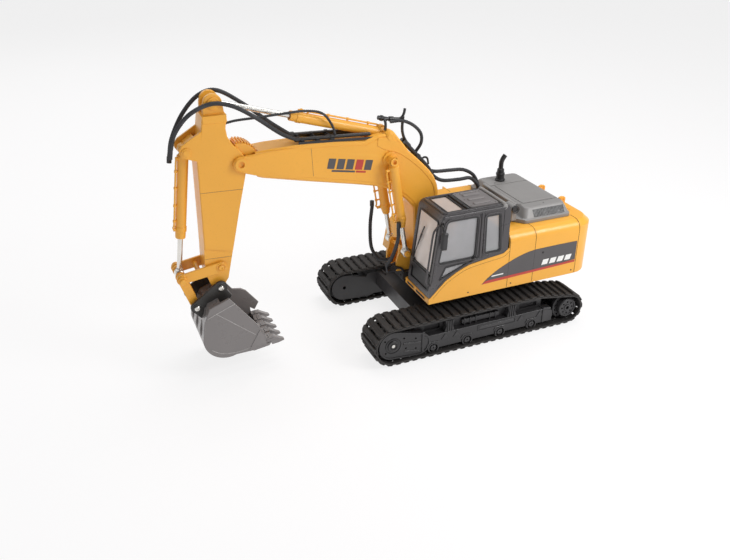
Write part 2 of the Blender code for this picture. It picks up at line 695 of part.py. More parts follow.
def boom_outline():
    """The bent boom's side view, above its narrow foot."""
    tip = arc(ARM_PIN, 7.6, 215, 110, 5)
    top = [(-243.0, 238.5), (-220.0, 240.2), (-189.0, 240.6), (-149.0, 238.5), (-118.0, 235.5)]
    hump = [(-104.0, 240.0)] + arc(ARM_CYL_BASE, 6.5, 150, 40, 4) + [(-76.0, 231.0)]
    rear = [(-66.0, 218.0), (-50.0, 203.0), (-35.0, 186.0), (-28.0, 168.0), (-28.5, 145.0)]
    rear.append((-33.0, 112.0))
    front = [(-56.5, 112.0), (-58.0, 150.0), (-68.0, 162.0), (-82.0, 173.0), (-98.6, 181.5)]
    under = [(-131.0, 189.5), (-182.6, 200.5), (-229.6, 211.0), (-246.4, 217.0)]
    return tip + top + hump + rear + front + under


def build_boom(slew, look):
    lift = Pivot("boom_axis", (BOOM_FOOT[0], 0, BOOM_FOOT[1]), slew)
    body = prism(boom_outline(), -BOOM_HALF, BOOM_HALF)
    foot = [(-56.5, 113.0), (-33.0, 113.0)] + arc(BOOM_FOOT, 8.0, 0, -180, 6)
    foot_piece = prism(foot, -11.0, 11.0)
    ear = [(-215.0, 209.0), (-215.0, 238.5), (-238.0, 238.0)] + arc(ARM_PIN, 7.6, 110, 250, 6)
    ears = [
        prism(ear, BOOM_HALF - 1, TIP_HALF),
        prism(ear, -TIP_HALF, -BOOM_HALF + 1),
    ]
    bosses = [pin(LIFT_TOP, -27.5, 27.5, 4.4), pin(ARM_PIN, -TIP_HALF - 0.8, TIP_HALF + 0.8, 4.6)]
    gap = [(-300, 150), (-300, 300), (-241.0, 300), (-236.0, 243.0), (-234.0, 214.0), (-250, 190)]
    fork = prism(gap, -14.6, 14.6)
    clevis = prism([(-120, 238.5), (-101, 229.5), (-80, 229.5), (-80, 260), (-120, 260)], -6.4, 6.4)
    foot_bore = pin(BOOM_FOOT, -20, 20, 3.1)
    steps = joined(foot_piece, *ears, *bosses) + cut(fork, clevis, foot_bore)
    node("boom", look["yellow"], lift, body, steps)
    axle = Pivot("arm_axis", (ARM_PIN[0], 0, ARM_PIN[1]), lift)
    rails = [rod((-190, y, 245.0), (-112, y, 241.2), 2.0, 10) for y in (-9.2, 9.2)]
    clamps = [box((x, -12.0, 241.2), (x + 5, 12.0, 243.4)) for x in (-187.0, -171.0, -155.0)]
    node("boom_pipes", look["black"], lift, rails[0], joined(*clamps, rails[1]))
    return lift, axle


def barrel(start, end, length, tail=8.0):
    """A cylinder barrel with an eye at its start and an open mouth."""
    x, y, z = start
    eye = pin((x, z), y - 4.6, y + 4.6, 5.4)
    tube = turned(
        start,
        end,
        [(4.0, 4.0), (6.5, BARREL_RADIUS), (length, BARREL_RADIUS)],
        16,
    )
    along = (Vector(end) - Vector(start)).normalized()
    bore_start = Vector(start) + along * (tail + 2)
    bore_end = Vector(start) + along * (length + 5)
    bore = rod(tuple(bore_start), tuple(bore_end), BORE_RADIUS, 12)
    return eye, tube, bore


def piston(start, end, length, half=4.2, eye_radius=4.8):
    """A cylinder rod with an eye at its start."""
    x, y, z = start
    eye = pin((x, z), y - half, y + half, eye_radius)
    along = (Vector(end) - Vector(start)).normalized()
    shaft = rod(start, tuple(Vector(start) + along * length), ROD_RADIUS, 12)
    return eye, shaft


def build_lift_cylinders(slew, lift, look):
    top = Pivot("lift_barrel_axis", (LIFT_TOP[0], 0, LIFT_TOP[1]), lift)
    base = Pivot("lift_rod_axis", (LIFT_BASE[0], 0, LIFT_BASE[1]), slew)
    for side, name in ((-1, "left"), (1, "right")):
        high = (LIFT_TOP[0], side * LIFT_Y, LIFT_TOP[1])
        low = (LIFT_BASE[0], side * LIFT_Y, LIFT_BASE[1])
        eye, tube, bore = barrel(high, low, 80.0)
        hole = pin(LIFT_TOP, -40, 40, 4.9)
        node(f"lift_barrel_{name}", look["yellow"], top, tube, joined(eye) + cut(bore, hole))
        eye, shaft = piston(low, high, 66.0)
        hole = pin(LIFT_BASE, -40, 40, 2.7)
        node(f"lift_rod_{name}", look["steel"], base, shaft, joined(eye) + cut(hole))


def build_arm_cylinder(lift, arm, look):
    base = Pivot("arm_barrel_axis", (ARM_CYL_BASE[0], 0, ARM_CYL_BASE[1]), lift)
    tip = Pivot("arm_rod_axis", (ARM_CYL_TOP[0], 0, ARM_CYL_TOP[1]), arm)
    low = (ARM_CYL_BASE[0], 0, ARM_CYL_BASE[1])
    high = (ARM_CYL_TOP[0], 0, ARM_CYL_TOP[1])
    eye, tube, bore = barrel(low, high, 110.0)
    hole = pin(ARM_CYL_BASE, -20, 20, PIN_HOLE)
    node("arm_barrel", look["yellow"], base, tube, joined(eye) + cut(bore, hole))
    eye, shaft = piston(high, low, 140.0)
    hole = pin(ARM_CYL_TOP, -20, 20, PIN_HOLE)
    node("arm_rod", look["steel"], tip, shaft, joined(eye) + cut(hole))


def arm_outline():
    top = [(-284.5, 280.0), (-261.5, 280.0), (-263.0, 268.0), (-262.0, 258.0), (-257.0, 249.0)]
    lobe = [(-250.0, 241.5)] + arc(ARM_PIN, 8.0, 50, -40, 5)
    low = [(-247.6, 214.0), (-255.8, 181.8), (-273.5, 106.0)]
    foot = arc(BUCKET_PIN, 7.6, 15, -160, 6)
    front = [(-297.0, 116.0), (-295.5, 150.0), (-294.6, 188.0), (-293.6, 239.0), (-287.0, 265.0)]
    return top + lobe + low + foot + front


def build_arm(arm, look):
    half = ARM_HALF
    body = prism(arm_outline(), -half, half)
    lug = [(-283.0, 279.0), (-283.0, 289.0)] + arc((-272.5, 290.5), 9.2, 170, 10, 6) + [(-262.0, 279.0)]
    lugs = [prism(lug, -10.0, -5.6), prism(lug, 5.6, 10.0)]
    bracket = [(-286.0, 265.0), (-309.0, 253.0), (-309.5, 246.0), (-306.0, 241.5), (-292.0, 237.0)]
    plates = [prism(bracket, -14.0, -10.8), prism(bracket, 10.8, 14.0)]
    pins = [pin(ARM_CYL_TOP, -9, 9, 2.3), pin(CURL_TOP, -15.2, 15.2, 2.3)]
    pins.append(pin(ROCKER_PIN, -16.8, 16.8, 2.6))
    pins.append(pin(BUCKET_PIN, -20.8, 20.8, 2.3))
    thin = [
        prism([(-320, 80), (-260, 80), (-260, 135), (-320, 150)], side, side + 2)
        for side in (ARM_FOOT_HALF, -ARM_FOOT_HALF - 2)
    ]
    bore = pin(ARM_PIN, -20, 20, 5.1)
    steps = joined(*lugs, *plates) + cut(*thin, bore) + joined(*pins)
    node("arm", look["yellow"], arm, body, steps)


def build_curl(arm, look):
    """The bucket cylinder, the rocker and the link."""
    top = Pivot("curl_barrel_axis", (CURL_TOP[0], 0, CURL_TOP[1]), arm)
    rock = Pivot("rocker_axis", (ROCKER_PIN[0], 0, ROCKER_PIN[1]), arm)
    tip = Pivot("rocker_tip_axis", (ROCKER_TIP[0], 0, ROCKER_TIP[1]), rock)
    high = (CURL_TOP[0], 0, CURL_TOP[1])
    low = (ROCKER_TIP[0], 0, ROCKER_TIP[1])
    eye, tube, bore = barrel(high, low, 93.0)
    hole = pin(CURL_TOP, -20, 20, PIN_HOLE)
    node("curl_barrel", look["yellow"], top, tube, joined(eye) + cut(bore, hole))
    eye, shaft = piston(low, high, 100.0)
    tip_hole = pin(ROCKER_TIP, -20, 20, PIN_HOLE)
    node("curl_rod", look["steel"], tip, shaft, joined(eye) + cut(tip_hole))
    side = capsule(ROCKER_PIN, ROCKER_TIP, 5.6, 12, 5.2)
    plate = prism(side, -16.0, -13.2)
    bars = [pin(ROCKER_TIP, -22.6, 22.6, 2.3), pin((-303.0, 117.2), -14, 14, 2.4)]
    heads = [pin(ROCKER_TIP, -22.6, -15, 4.2), pin(ROCKER_TIP, 15, 22.6, 4.2)]
    other = prism(side, 13.2, 16.0)
    steps = joined(*bars, other, *heads) + cut(pin(ROCKER_PIN, -30, 30, 3.1))
    node("rocker", look["yellow"], rock, plate, steps)
    bar = capsule(ROCKER_TIP, LINK_PIN, 4.6, 12)
    near = prism(bar, -12.4, -8.4)
    far = prism(bar, 8.4, 12.4)
    web = prism(capsule((-315.0, 93.0), LINK_PIN, 3.2, 12), -9, 9)
    foot = pin(LINK_PIN, -13.5, 13.5, 3.6)
    tip_hole = pin(ROCKER_TIP, -20, 20, PIN_HOLE)
    node("bucket_link", look["yellow"], tip, near, joined(web, far, foot) + cut(tip_hole))


def bucket_shell(inset):
    """The bucket's side view, from its lip round the bottom to the top of its back."""
    lip = [(-240.0, 25.5 + inset), (-256.0, 22.4 + inset)]
    bottom = arc((-285.5, 45.8), 25.2 - inset, -70, -180, 8)
    return lip + bottom + [(-307.5 + inset, 68.0), (-300.5 + inset * 0.6, 84.0)]


def build_bucket(arm, look):
    curl = Pivot("bucket_axis", (BUCKET_PIN[0], 0, BUCKET_PIN[1]), arm)
    mouth = [(-279.5, 92.0), (-249.1, 50.6), (-243.2, 39.0), (-242.4, 28.0)]
    body = prism(bucket_shell(0) + mouth, -BUCKET_HALF, BUCKET_HALF)
    open_side = [(-276.0, 94.0), (-245.0, 80.0), (-225.0, 40.0), (-225.0, 28.0)]
    hollow = prism(bucket_shell(2.4) + open_side, -BUCKET_HALF + 2.6, BUCKET_HALF - 2.6)
    ear = [(-305.5, 66.0), (-283.0, 74.0), (-272.0, 88.0)] + arc(BUCKET_PIN, 6.6, -30, 120, 5)
    ear += arc(LINK_PIN, 6.2, 120, 240, 5)
    ears = [prism(ear, -19.8, -16.6), prism(ear, 16.6, 19.8)]
    ridge = [(-306.0, 70.0), (-303.0, 80.0), (-296.5, 83.5), (-290.0, 81.0), (-288.0, 76.0)]
    top = prism(ridge, -20, 20)
    edge = [(-258.0, 22.0), (-240.0, 24.6), (-237.4, 28.0), (-257.0, 25.8)]
    lip = prism(edge, -BUCKET_HALF, BUCKET_HALF)
    blade = [(-264.0, 68.0), (-252.0, 66.0), (-246.5, 62.5), (-232.7, 44.5), (-238.0, 35.5)]
    blade.append((-252.0, 46.0))
    cutter = prism(blade, BUCKET_HALF - 2.6, BUCKET_HALF)
    steps = cut(hollow) + joined(*ears, top, lip, cutter) + cut(pin(BUCKET_PIN, -30, 30, 2.8))
    node("bucket", look["bucket"], curl, body, steps)
    strip = prism([(-242.0, 28.6), (-236.0, 29.4), (-235.0, 32.6), (-242.5, 31.8)], -30.0, 30.0)
    teeth = []
    for i in range(5):
        y = -28.4 + i * 14.2
        side = [(-241.5, 29.2), (-236.9, 29.7), (-236.4, 24.4), (-222.3, 25.6), (-222.0, 27.4)]
        side += [(-234.0, 33.2), (-241.5, 32.4)]
        teeth.append(prism(side, y - 3.6, y + 3.6))
    node("bucket_teeth", look["bucket"], curl, strip, joined(*teeth))


def build_hoses(slew, lift, look):
    arm_left = [
        (-192.5, -9.2, 245.6), (-208, -9.8, 254), (-235, -12.4, 275), (-256, -12.8, 287.5),
        (-275, -13, 291), (-296, -12.6, 283), (-311, -10.5, 266), (-317, -8.5, 247.5),
    ]
    arm_right = [
        (-192.5, 9.2, 245.6), (-212, 10.5, 260), (-240, 12.6, 283), (-263, 13, 297),
        (-281, 13, 294), (-298, 12.4, 278), (-311, 10.5, 256), (-316, 8.5, 238.5),
    ]
    arm_thin = [
        (-149, -9.2, 245.6), (-153, -9.4, 257), (-163, -9, 269), (-181, -8.4, 273),
        (-205, -7.4, 272.4), (-232, -6.4, 271.2), (-250, -7, 271), (-262.2, -7.4, 269.6),
    ]
    hose("hose_arm_left", look["hose"], lift, arm_left, HOSE_RADIUS, 22)
    hose("hose_arm_right", look["hose"], lift, arm_right, HOSE_RADIUS, 22)
    hose("hose_arm_thin", look["hose"], lift, arm_thin, 1.3, 22)
    boom_left = [
        (-64, -4.5, 222.4), (-50, -4.5, 207.4), (-36, -2, 192), (-26, 2, 178.5), (-12, 5, 169.8),
        (10, 6, 167.4), (25, 7.5, 166.6), (35, 11, 159.5), (44, 15.5, 149.5), (50, 18, 142.5),
    ]
    boom_right = [
        (-64, 4.5, 222.4), (-50, 4.5, 207.4), (-36, 10, 193), (-26, 18, 181.5), (-12, 24, 174.4),
        (8, 25.5, 172.4), (26, 25.5, 170.6), (40, 26, 163), (48, 27, 152), (51, 28, 142.5),
    ]
    hose("hose_boom_left", look["hose"], lift, boom_left, HOSE_RADIUS, 24)
    hose("hose_boom_right", look["hose"], lift, boom_right, HOSE_RADIUS, 24)
    loop = [
        (-84, -3.5, 249.5), (-70, -3.5, 249), (-57, -3.8, 243), (-47.5, -4, 233),
        (-46.5, -4.2, 222), (-51, 0, 210.5),
    ]
    hose("hose_loop", look["hose"], lift, loop, 1.9, 16)
    cyl_left = [
        (-84, -29.0, 139), (-84, -29, 122), (-88, -24, 100),
        (-90, -14, 84), (-84, -9, 80.5), (-79.5, -8, 80.2),
    ]
    cyl_right = [
        (-90, 29.0, 143), (-93, 28, 118), (-95, 20, 94),
        (-90, 12, 82), (-84, 8, 80.5), (-79.5, 6, 80.2),
    ]
    hose("hose_cyl_left", look["hose"], slew, cyl_left, HOSE_RADIUS, 16)
    hose("hose_cyl_right", look["hose"], slew, cyl_right, HOSE_RADIUS, 16)


def main():
    clear_scene()
    look = {
        "yellow": material("yellow_plastic", YELLOW, 0.35),
        "charcoal": material("charcoal_plastic", CHARCOAL, 0.4),
        "frame": material("undercarriage_plastic", BLACK, 0.5),
        "wheel": material("wheel_plastic", (0.03, 0.028, 0.03), 0.45),
        "track": material("track_rubber", (0.035, 0.033, 0.033), 0.65),
        "grey": material("hood_plastic", GREY, 0.4),
        "bucket": material("bucket_plastic", BUCKET_GREY, 0.4),
        "black": material("black_plastic", BLACK, 0.45),
        "steel": material("steel", STEEL, 0.25, 1.0),
        "glass": material("clear_liner", (0.75, 0.77, 0.8), 0.1, 0.0, 0.35),
        "board": material("circuit_board", (0.02, 0.18, 0.06), 0.5),
        "hose": material("hose_rubber", (0.03, 0.03, 0.032), 0.55),
    }
    root = Pivot("machine", (0, 0, 0))
    build_chassis(root, look)
    for side in (-1, 1):
        build_track_side(side, root, look)
    slew = build_house(root, look)
    lift, arm = build_boom(slew, look)
    build_lift_cylinders(slew, lift, look)
    build_arm_cylinder(lift, arm, look)
    build_arm(arm, look)
    build_curl(arm, look)
    build_bucket(arm, look)
    build_hoses(slew, lift, look)


main()
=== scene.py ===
"""Looks of the toy excavator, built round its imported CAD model.

Lengths are in millimetres in the machine's own frame: the origin is on the ground under the slew
axis, the boom points towards -X, the cab is on the -Y side and +Z is up. finished() turns them
into the row frame, whose offset is read from the slew joint.
"""
import json
import math

import bmesh
import bpy
from mathutils import Matrix, Vector


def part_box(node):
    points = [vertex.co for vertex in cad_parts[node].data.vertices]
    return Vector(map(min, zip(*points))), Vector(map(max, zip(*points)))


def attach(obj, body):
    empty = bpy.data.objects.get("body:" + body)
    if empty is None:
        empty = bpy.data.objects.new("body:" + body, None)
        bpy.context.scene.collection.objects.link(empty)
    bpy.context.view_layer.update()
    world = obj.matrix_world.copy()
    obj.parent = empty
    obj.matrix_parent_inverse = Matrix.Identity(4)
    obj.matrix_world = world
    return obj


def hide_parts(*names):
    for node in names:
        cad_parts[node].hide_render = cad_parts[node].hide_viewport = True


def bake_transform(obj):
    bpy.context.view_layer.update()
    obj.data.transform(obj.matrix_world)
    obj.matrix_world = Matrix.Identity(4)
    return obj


MM = 0.001
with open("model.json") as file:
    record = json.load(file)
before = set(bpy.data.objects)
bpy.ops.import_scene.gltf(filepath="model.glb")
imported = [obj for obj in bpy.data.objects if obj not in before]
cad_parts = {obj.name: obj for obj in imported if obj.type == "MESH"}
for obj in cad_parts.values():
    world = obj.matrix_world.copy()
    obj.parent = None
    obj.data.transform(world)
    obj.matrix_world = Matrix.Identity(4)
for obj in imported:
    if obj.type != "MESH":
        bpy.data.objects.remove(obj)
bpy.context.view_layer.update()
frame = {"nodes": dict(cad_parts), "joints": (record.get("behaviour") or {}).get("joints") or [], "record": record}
JOINT = {joint["name"]: joint for joint in frame["joints"]}
SLEW = Vector(JOINT["slew"]["pos_m"])
OFFSET = Vector((SLEW.x, SLEW.y, 0))
SIDES = (("left", -1), ("right", 1))


def pivot(name):
    """A joint's (x, z) in the machine's frame."""
    at = (Vector(JOINT[name]["pos_m"]) - OFFSET) / MM
    return (at.x, at.z)


def node_box(name):
    """A CAD node's lowest and highest corner in the machine's frame."""
    low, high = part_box(name)
    return (low - OFFSET) / MM, (high - OFFSET) / MM


# ---- camera, floor and light ----

EYE = (-417.8, -715.4, 480.6)
VIEW_DOWN = 27.92
VIEW_TURN = 23.17
FOCAL_WIDTHS = 754.66 / 730
SHIFT_Y = -4.3 / 730
LIGHTS = (
    ("key_light", (0.5, -0.5, 0.6), 0.4, 3.9),
    ("top_light", (0.35, 0.3, 1.6), 1.2, 14),
    ("back_light", (-0.3, 1.4, 1.2), 1.4, 4.5),
)
WORLD_FADE = {"From Min": 0.16, "From Max": 0.34, "To Min": 0.86, "To Max": 0.2}
FLOOR_COLOUR = (0.2, 0.193, 0.197)
FLOOR_GLOW = 0.79
FLOOR_RADIUS = 14
FLOOR_Z = -0.0004


def make_camera():
    """Stands at EYE and looks down and to the right by the VIEW_ angles."""
    data = bpy.data.cameras.new("camera")
    data.sensor_width = 36
    data.lens = 36 * FOCAL_WIDTHS
    data.shift_y = SHIFT_Y
    data.clip_start = 0.02
    data.clip_end = 20
    camera = bpy.data.objects.new("camera", data)
    camera.location = Vector(EYE) * MM + OFFSET
    camera.rotation_euler = (math.radians(90 - VIEW_DOWN), 0, -math.radians(VIEW_TURN))
    bpy.context.scene.collection.objects.link(camera)
    bpy.context.scene.camera = camera


def area_light(name, at, size, power):
    """A round lamp, sizes in metres and power in watts, aimed at the machine."""
    data = bpy.data.lights.new(name, "AREA")
    data.shape = "DISK"
    data.size = size
    data.energy = power
    light = bpy.data.objects.new(name, data)
    light.location = at
    light.rotation_euler = (Vector((0, 0, 0.1)) - Vector(at)).to_track_quat("-Z", "Y").to_euler()
    bpy.context.scene.collection.objects.link(light)


def make_studio():
    """A white surround that dims upwards, three lamps and a pale floor."""
    scene = bpy.context.scene
    scene.view_settings.view_transform = "Standard"
    world = bpy.data.worlds.new("studio")
    world.use_nodes = True
    background = world.node_tree.nodes["Background"]
    background.inputs["Color"].default_value = (1, 1, 1, 1)
    tree = world.node_tree
    split = tree.nodes.new("ShaderNodeSeparateXYZ")
    tree.links.new(tree.nodes.new("ShaderNodeTexCoord").outputs["Generated"], split.inputs[0])
    fade = tree.nodes.new("ShaderNodeMapRange")
    for name, value in WORLD_FADE.items():
        fade.inputs[name].default_value = value
    tree.links.new(split.outputs["Z"], fade.inputs["Value"])
    tree.links.new(fade.outputs["Result"], background.inputs["Strength"])
    scene.world = world
    for name, at, size, power in LIGHTS:
        area_light(name, at, size, power)
    bpy.ops.mesh.primitive_circle_add(
        vertices=96, radius=FLOOR_RADIUS, fill_type="NGON", location=(0, 0, FLOOR_Z))
    floor = bpy.context.object
    floor.name = "floor"
    sweep = plain_material("floor", FLOOR_COLOUR, 0.8)
    surface = sweep.node_tree.nodes["Principled BSDF"]
    surface.inputs["Emission Color"].default_value = (1, 1, 1, 1)
    surface.inputs["Emission Strength"].default_value = FLOOR_GLOW
    floor.data.materials.append(sweep)


# ---- materials ----


class Shader:
    """A material's node tree, with short calls for the nodes used here."""

    def __init__(self, name):
        self.material = bpy.data.materials.new(name)
        self.material.use_nodes = True
        self.tree = self.material.node_tree
        self.surface = self.tree.nodes["Principled BSDF"]
        coordinates = self.tree.nodes.new("ShaderNodeTexCoord")
        self.place = coordinates.outputs["Object"]

    def set(self, **values):
        for name, value in values.items():
            self.surface.inputs[name.replace("_", " ")].default_value = value

    def link(self, source, target):
        self.tree.links.new(source, target)

    def noise(self, scale, detail=3, roughness=0.55, place=None):
        node = self.tree.nodes.new("ShaderNodeTexNoise")
        node.inputs["Scale"].default_value = scale
        node.inputs["Detail"].default_value = detail
        node.inputs["Roughness"].default_value = roughness
        self.link(place or self.place, node.inputs["Vector"])
        return node.outputs["Fac"]

    def span(self, source, low, high, to_low=0, to_high=1):
        """The source's range low..high as to_low..to_high."""
        node = self.tree.nodes.new("ShaderNodeMapRange")
        for name, value in zip(("From Min", "From Max", "To Min", "To Max"),
                               (low, high, to_low, to_high)):
            node.inputs[name].default_value = value
        self.link(source, node.inputs["Value"])
        return node.outputs["Result"]

    def mix(self, share, first, second):
        node = self.tree.nodes.new("ShaderNodeMix")
        node.data_type = "RGBA"
        self.link(share, node.inputs["Factor"])
        for socket, colour in ((node.inputs["A"], first), (node.inputs["B"], second)):
            if isinstance(colour, tuple):
                socket.default_value = (*colour, 1)
            else:
                self.link(colour, socket)
        return node.outputs["Result"]

    def bump(self, height, distance, strength):
        node = self.tree.nodes.new("ShaderNodeBump")
        node.inputs["Distance"].default_value = distance
        node.inputs["Strength"].default_value = strength
        self.link(height, node.inputs["Height"])
        return node.outputs["Normal"]

    def edge(self):
        """Brighter on sharp outer edges, 0 to 1."""
        geometry = self.tree.nodes.new("ShaderNodeNewGeometry")
        return self.span(geometry.outputs["Pointiness"], 0.52, 0.62)

    def finish(self, colour=None, roughness=None, normal=None):
        for name, source in (("Base Color", colour), ("Roughness", roughness), ("Normal", normal)):
            if source:
                self.link(source, self.surface.inputs[name])
        return self.material


def shade(colour, factor):
    return tuple(min(1, part * factor) for part in colour)


def plain_material(name, colour, roughness):
    shader = Shader(name)
    shader.set(Base_Color=(*colour, 1), Roughness=roughness)
    tint = shader.span(shader.noise(2), 0.3, 0.7)
    return shader.finish(shader.mix(tint, colour, shade(colour, 0.985)))


def moulded(name, colour, rough, grain=0.00003, cloud=0.06, wear=0.15, coat=0):
    """Injection-moulded plastic: faint flow marks, fine grain, lighter worn edges."""
    shader = Shader(name)
    shader.set(Coat_Weight=coat, Coat_Roughness=0.2)
    flow = shader.span(shader.noise(16, 2), 0.3, 0.7)
    base = shader.mix(flow, shade(colour, 1 - cloud), shade(colour, 1 + cloud))
    speck = shader.span(shader.noise(420, 4, 0.7), 0.56, 0.74, 0, 0.35)
    base = shader.mix(speck, base, shade(colour, 0.8))
    rubbed = shader.span(shader.edge(), 0, 1, 0, wear)
    pale = tuple(0.55 * part + 0.45 * min(1, part * 1.6 + 0.03) for part in colour)
    base = shader.mix(rubbed, base, pale)
    gloss = shader.span(shader.noise(75, 5, 0.65), 0.3, 0.7, rough - 0.07, rough + 0.09)
    fine = shader.bump(shader.noise(2600, 2), grain, 0.5)
    return shader.finish(base, gloss, fine)


def rubber(name, colour, dust):
    """Moulded rubber: matt, with pale dust in patches and on the worn faces."""
    shader = Shader(name)
    shader.set(Specular_IOR_Level=0.35)
    patches = shader.span(shader.noise(60, 5, 0.7), 0.45, 0.75, 0, 0.6)
    base = shader.mix(patches, colour, dust)
    rubbed = shader.span(shader.edge(), 0, 1, 0, 0.55)
    base = shader.mix(rubbed, base, shade(dust, 1.25))
    gloss = shader.span(shader.noise(240, 3), 0.3, 0.7, 0.5, 0.75)
    return shader.finish(base, gloss, shader.bump(shader.noise(1500, 4, 0.7), 0.00008, 0.6))


def plated(name, colour, rough):
    """Bright plated steel with fine lines along the rod."""
    shader = Shader(name)
    shader.set(Metallic=1)
    stretch = shader.tree.nodes.new("ShaderNodeMapping")
    stretch.inputs["Scale"].default_value = (1, 1, 0.04)
    shader.link(shader.place, stretch.inputs["Vector"])
    lines = shader.noise(2200, 3, 0.6, stretch.outputs["Vector"])
    gloss = shader.span(lines, 0.3, 0.7, rough - 0.06, rough + 0.1)
    stain = shader.span(shader.noise(90), 0.4, 0.8, 0, 0.5)
    base = shader.mix(stain, colour, shade(colour, 0.78))
    return shader.finish(base, gloss, shader.bump(lines, 0.00001, 0.4))


def clear_sheet(name, colour, alpha):
    """Thin clear plastic, a little hazy and smeared."""
    shader = Shader(name)
    shader.set(IOR=1.45)
    haze = shader.span(shader.noise(14, 2, 0.5), 0.3, 0.7, alpha - 0.03, alpha + 0.05)
    shader.link(haze, shader.surface.inputs["Alpha"])
    tint = shader.span(shader.noise(40), 0.3, 0.7)
    gloss = shader.span(shader.noise(18, 2), 0.3, 0.7, 0.08, 0.16)
    return shader.finish(shader.mix(tint, colour, shade(colour, 0.9)), gloss)


def mirror_glass(name):
    shader = Shader(name)
    shader.set(Metallic=1)
    tint = shader.span(shader.noise(50), 0.3, 0.7)
    gloss = shader.span(shader.noise(200), 0.4, 0.8, 0.03, 0.12)
    return shader.finish(shader.mix(tint, (0.78, 0.8, 0.82), (0.7, 0.72, 0.74)), gloss)


def circuit(name):
    """Green solder mask with pale tracks."""
    shader = Shader(name)
    brick = shader.tree.nodes.new("ShaderNodeTexBrick")
    brick.inputs["Scale"].default_value = 260
    brick.inputs["Color1"].default_value = (0.02, 0.16, 0.06, 1)
    brick.inputs["Color2"].default_value = (0.03, 0.22, 0.09, 1)
    brick.inputs["Mortar"].default_value = (0.06, 0.22, 0.1, 1)
    shader.link(shader.place, brick.inputs["Vector"])
    shader.set(Roughness=0.35)
    return shader.finish(brick.outputs["Color"])


YELLOW = (0.86, 0.405, 0.042)
CHARCOAL = (0.052, 0.047, 0.05)
UNDER = (0.026, 0.0245, 0.026)
GREY = (0.25, 0.24, 0.235)
BUCKET = (0.2, 0.183, 0.18)


def make_looks():
    return {
        "yellow": moulded("yellow_plastic", YELLOW, 0.36, cloud=0.035, coat=0.12),
        "charcoal": moulded("charcoal_plastic", CHARCOAL, 0.3, cloud=0.08, wear=0.5, coat=0.15),
        "under": moulded("undercarriage_plastic", UNDER, 0.42, 0.00005, 0.12, 0.6),
        "wheel": moulded("wheel_plastic", shade(UNDER, 1.15), 0.4, 0.00005, 0.12, 0.6),
        "hood": moulded("hood_plastic", GREY, 0.4, 0.00006, 0.05, 0.35),
        "bucket": moulded("bucket_plastic", BUCKET, 0.3, 0.00004, 0.04, 0.4, coat=0.3),
        # Painted highlight: the weld beads are the bucket's plastic made about twice as light, for the thin
        # highlights along them.
        "weld": moulded("weld_painted_highlight", (0.42, 0.4, 0.39), 0.32, 0.00003, 0.04, 0.3),
        "ear": moulded("bucket_ear_plastic", (0.03, 0.028, 0.026), 0.36, 0.00005, 0.08, 0.5),
        "black": moulded("black_plastic", (0.016, 0.015, 0.016), 0.34, 0.00004, 0.1, 0.5),
        "track": rubber("track_rubber", (0.018, 0.0165, 0.0165), (0.05, 0.046, 0.044)),
        "hose": rubber("hose_rubber", (0.022, 0.022, 0.024), (0.09, 0.09, 0.1)),
        "steel": plated("steel", (0.78, 0.76, 0.72), 0.26),
        "screw": plated("screw_steel", (0.7, 0.68, 0.64), 0.22),
        "glass": clear_sheet("clear_liner", (0.62, 0.615, 0.63), 0.42),
        "film": clear_sheet("pale_liner", (0.95, 0.88, 0.84), 0.78),
        "tint": clear_sheet("tinted_liner", (0.72, 0.62, 0.56), 0.66),
        # Painted sheen: the roof panel's charcoal is made about three times lighter to stand in for the light on
        # the cab's top face.
        "roof": moulded("charcoal_painted_sheen", (0.17, 0.155, 0.155), 0.34, cloud=0.05, wear=0.4,
                        coat=0.15),
        "board": circuit("circuit_board"),
        "mirror": mirror_glass("mirror_glass"),
        "decal_dark": moulded("decal_dark", (0.085, 0.078, 0.08), 0.45, 0.00001, 0.04, 0),
        "decal_red": moulded("decal_red", (0.5, 0.05, 0.035), 0.45, 0.00001, 0.04, 0),
        "decal_white": moulded("decal_white", (0.86, 0.85, 0.83), 0.45, 0.00001, 0.02, 0),
        "gap": moulded("dark_gap", (0.008, 0.008, 0.008), 0.7, 0.00002, 0.1, 0),
    }


# ---- outlines: lists of (a, b) points in a plane ----


def polar(centre, radius, angle):
    return (centre[0] + radius * math.cos(angle), centre[1] + radius * math.sin(angle))


def arc(centre, radius, start, end, steps):
    """Points round a circle, from one angle in degrees to another."""
    return [polar(centre, radius, math.radians(start + (end - start) * i / steps))
            for i in range(steps + 1)]


def circle(centre, radius, sides=24):
    return arc(centre, radius, 0, 360, sides)[:-1]


def rectangle(low, high):
    return [low, (high[0], low[1]), high, (low[0], high[1])]


def rounded(points, radius, steps=4):
    """The outline with each corner cut back by the radius and rounded."""
    done = []
    for i, corner in enumerate(points):
        here = Vector(corner)
        before = (Vector(points[i - 1]) - here).normalized()
        after = (Vector(points[(i + 1) % len(points)]) - here).normalized()
        for j in range(steps + 1):
            t = j / steps
            done.append(tuple(here + before * radius * (1 - t) ** 2 + after * radius * t**2))
    return done


def round_box(low, high, radius, steps):
    """A rectangle with rounded corners."""
    return rounded(rectangle(low, high), radius, steps)


def capsule(first, second, radius, sides, second_radius=None):
    """The outline round two circles, joined by their outer tangents."""
    far = radius if second_radius is None else second_radius
    line = Vector(second) - Vector(first)
    lean = math.degrees(math.acos((radius - far) / line.length))
    turn = math.degrees(math.atan2(line.y, line.x))
    second_arc = arc(second, far, turn - lean, turn + lean, sides // 2)
    return second_arc + arc(first, radius, turn + lean, turn + 360 - lean, sides // 2)


def smooth_line(points, steps):
    """A Catmull-Rom curve through the points, in two or three dimensions."""
    knots = [Vector(p) for p in points]
    ends = [2 * knots[0] - knots[1], *knots, 2 * knots[-1] - knots[-2]]
    done = []
    for i in range(len(knots) - 1):
        p0, p1, p2, p3 = ends[i : i + 4]
        for j in range(steps):
            t = j / steps
            bend = 2 * p1 + (p2 - p0) * t + (2 * p0 - 5 * p1 + 4 * p2 - p3) * t**2
            done.append(tuple((bend + (3 * p1 - p0 - 3 * p2 + p3) * t**3) / 2))
    return done + [tuple(knots[-1])]


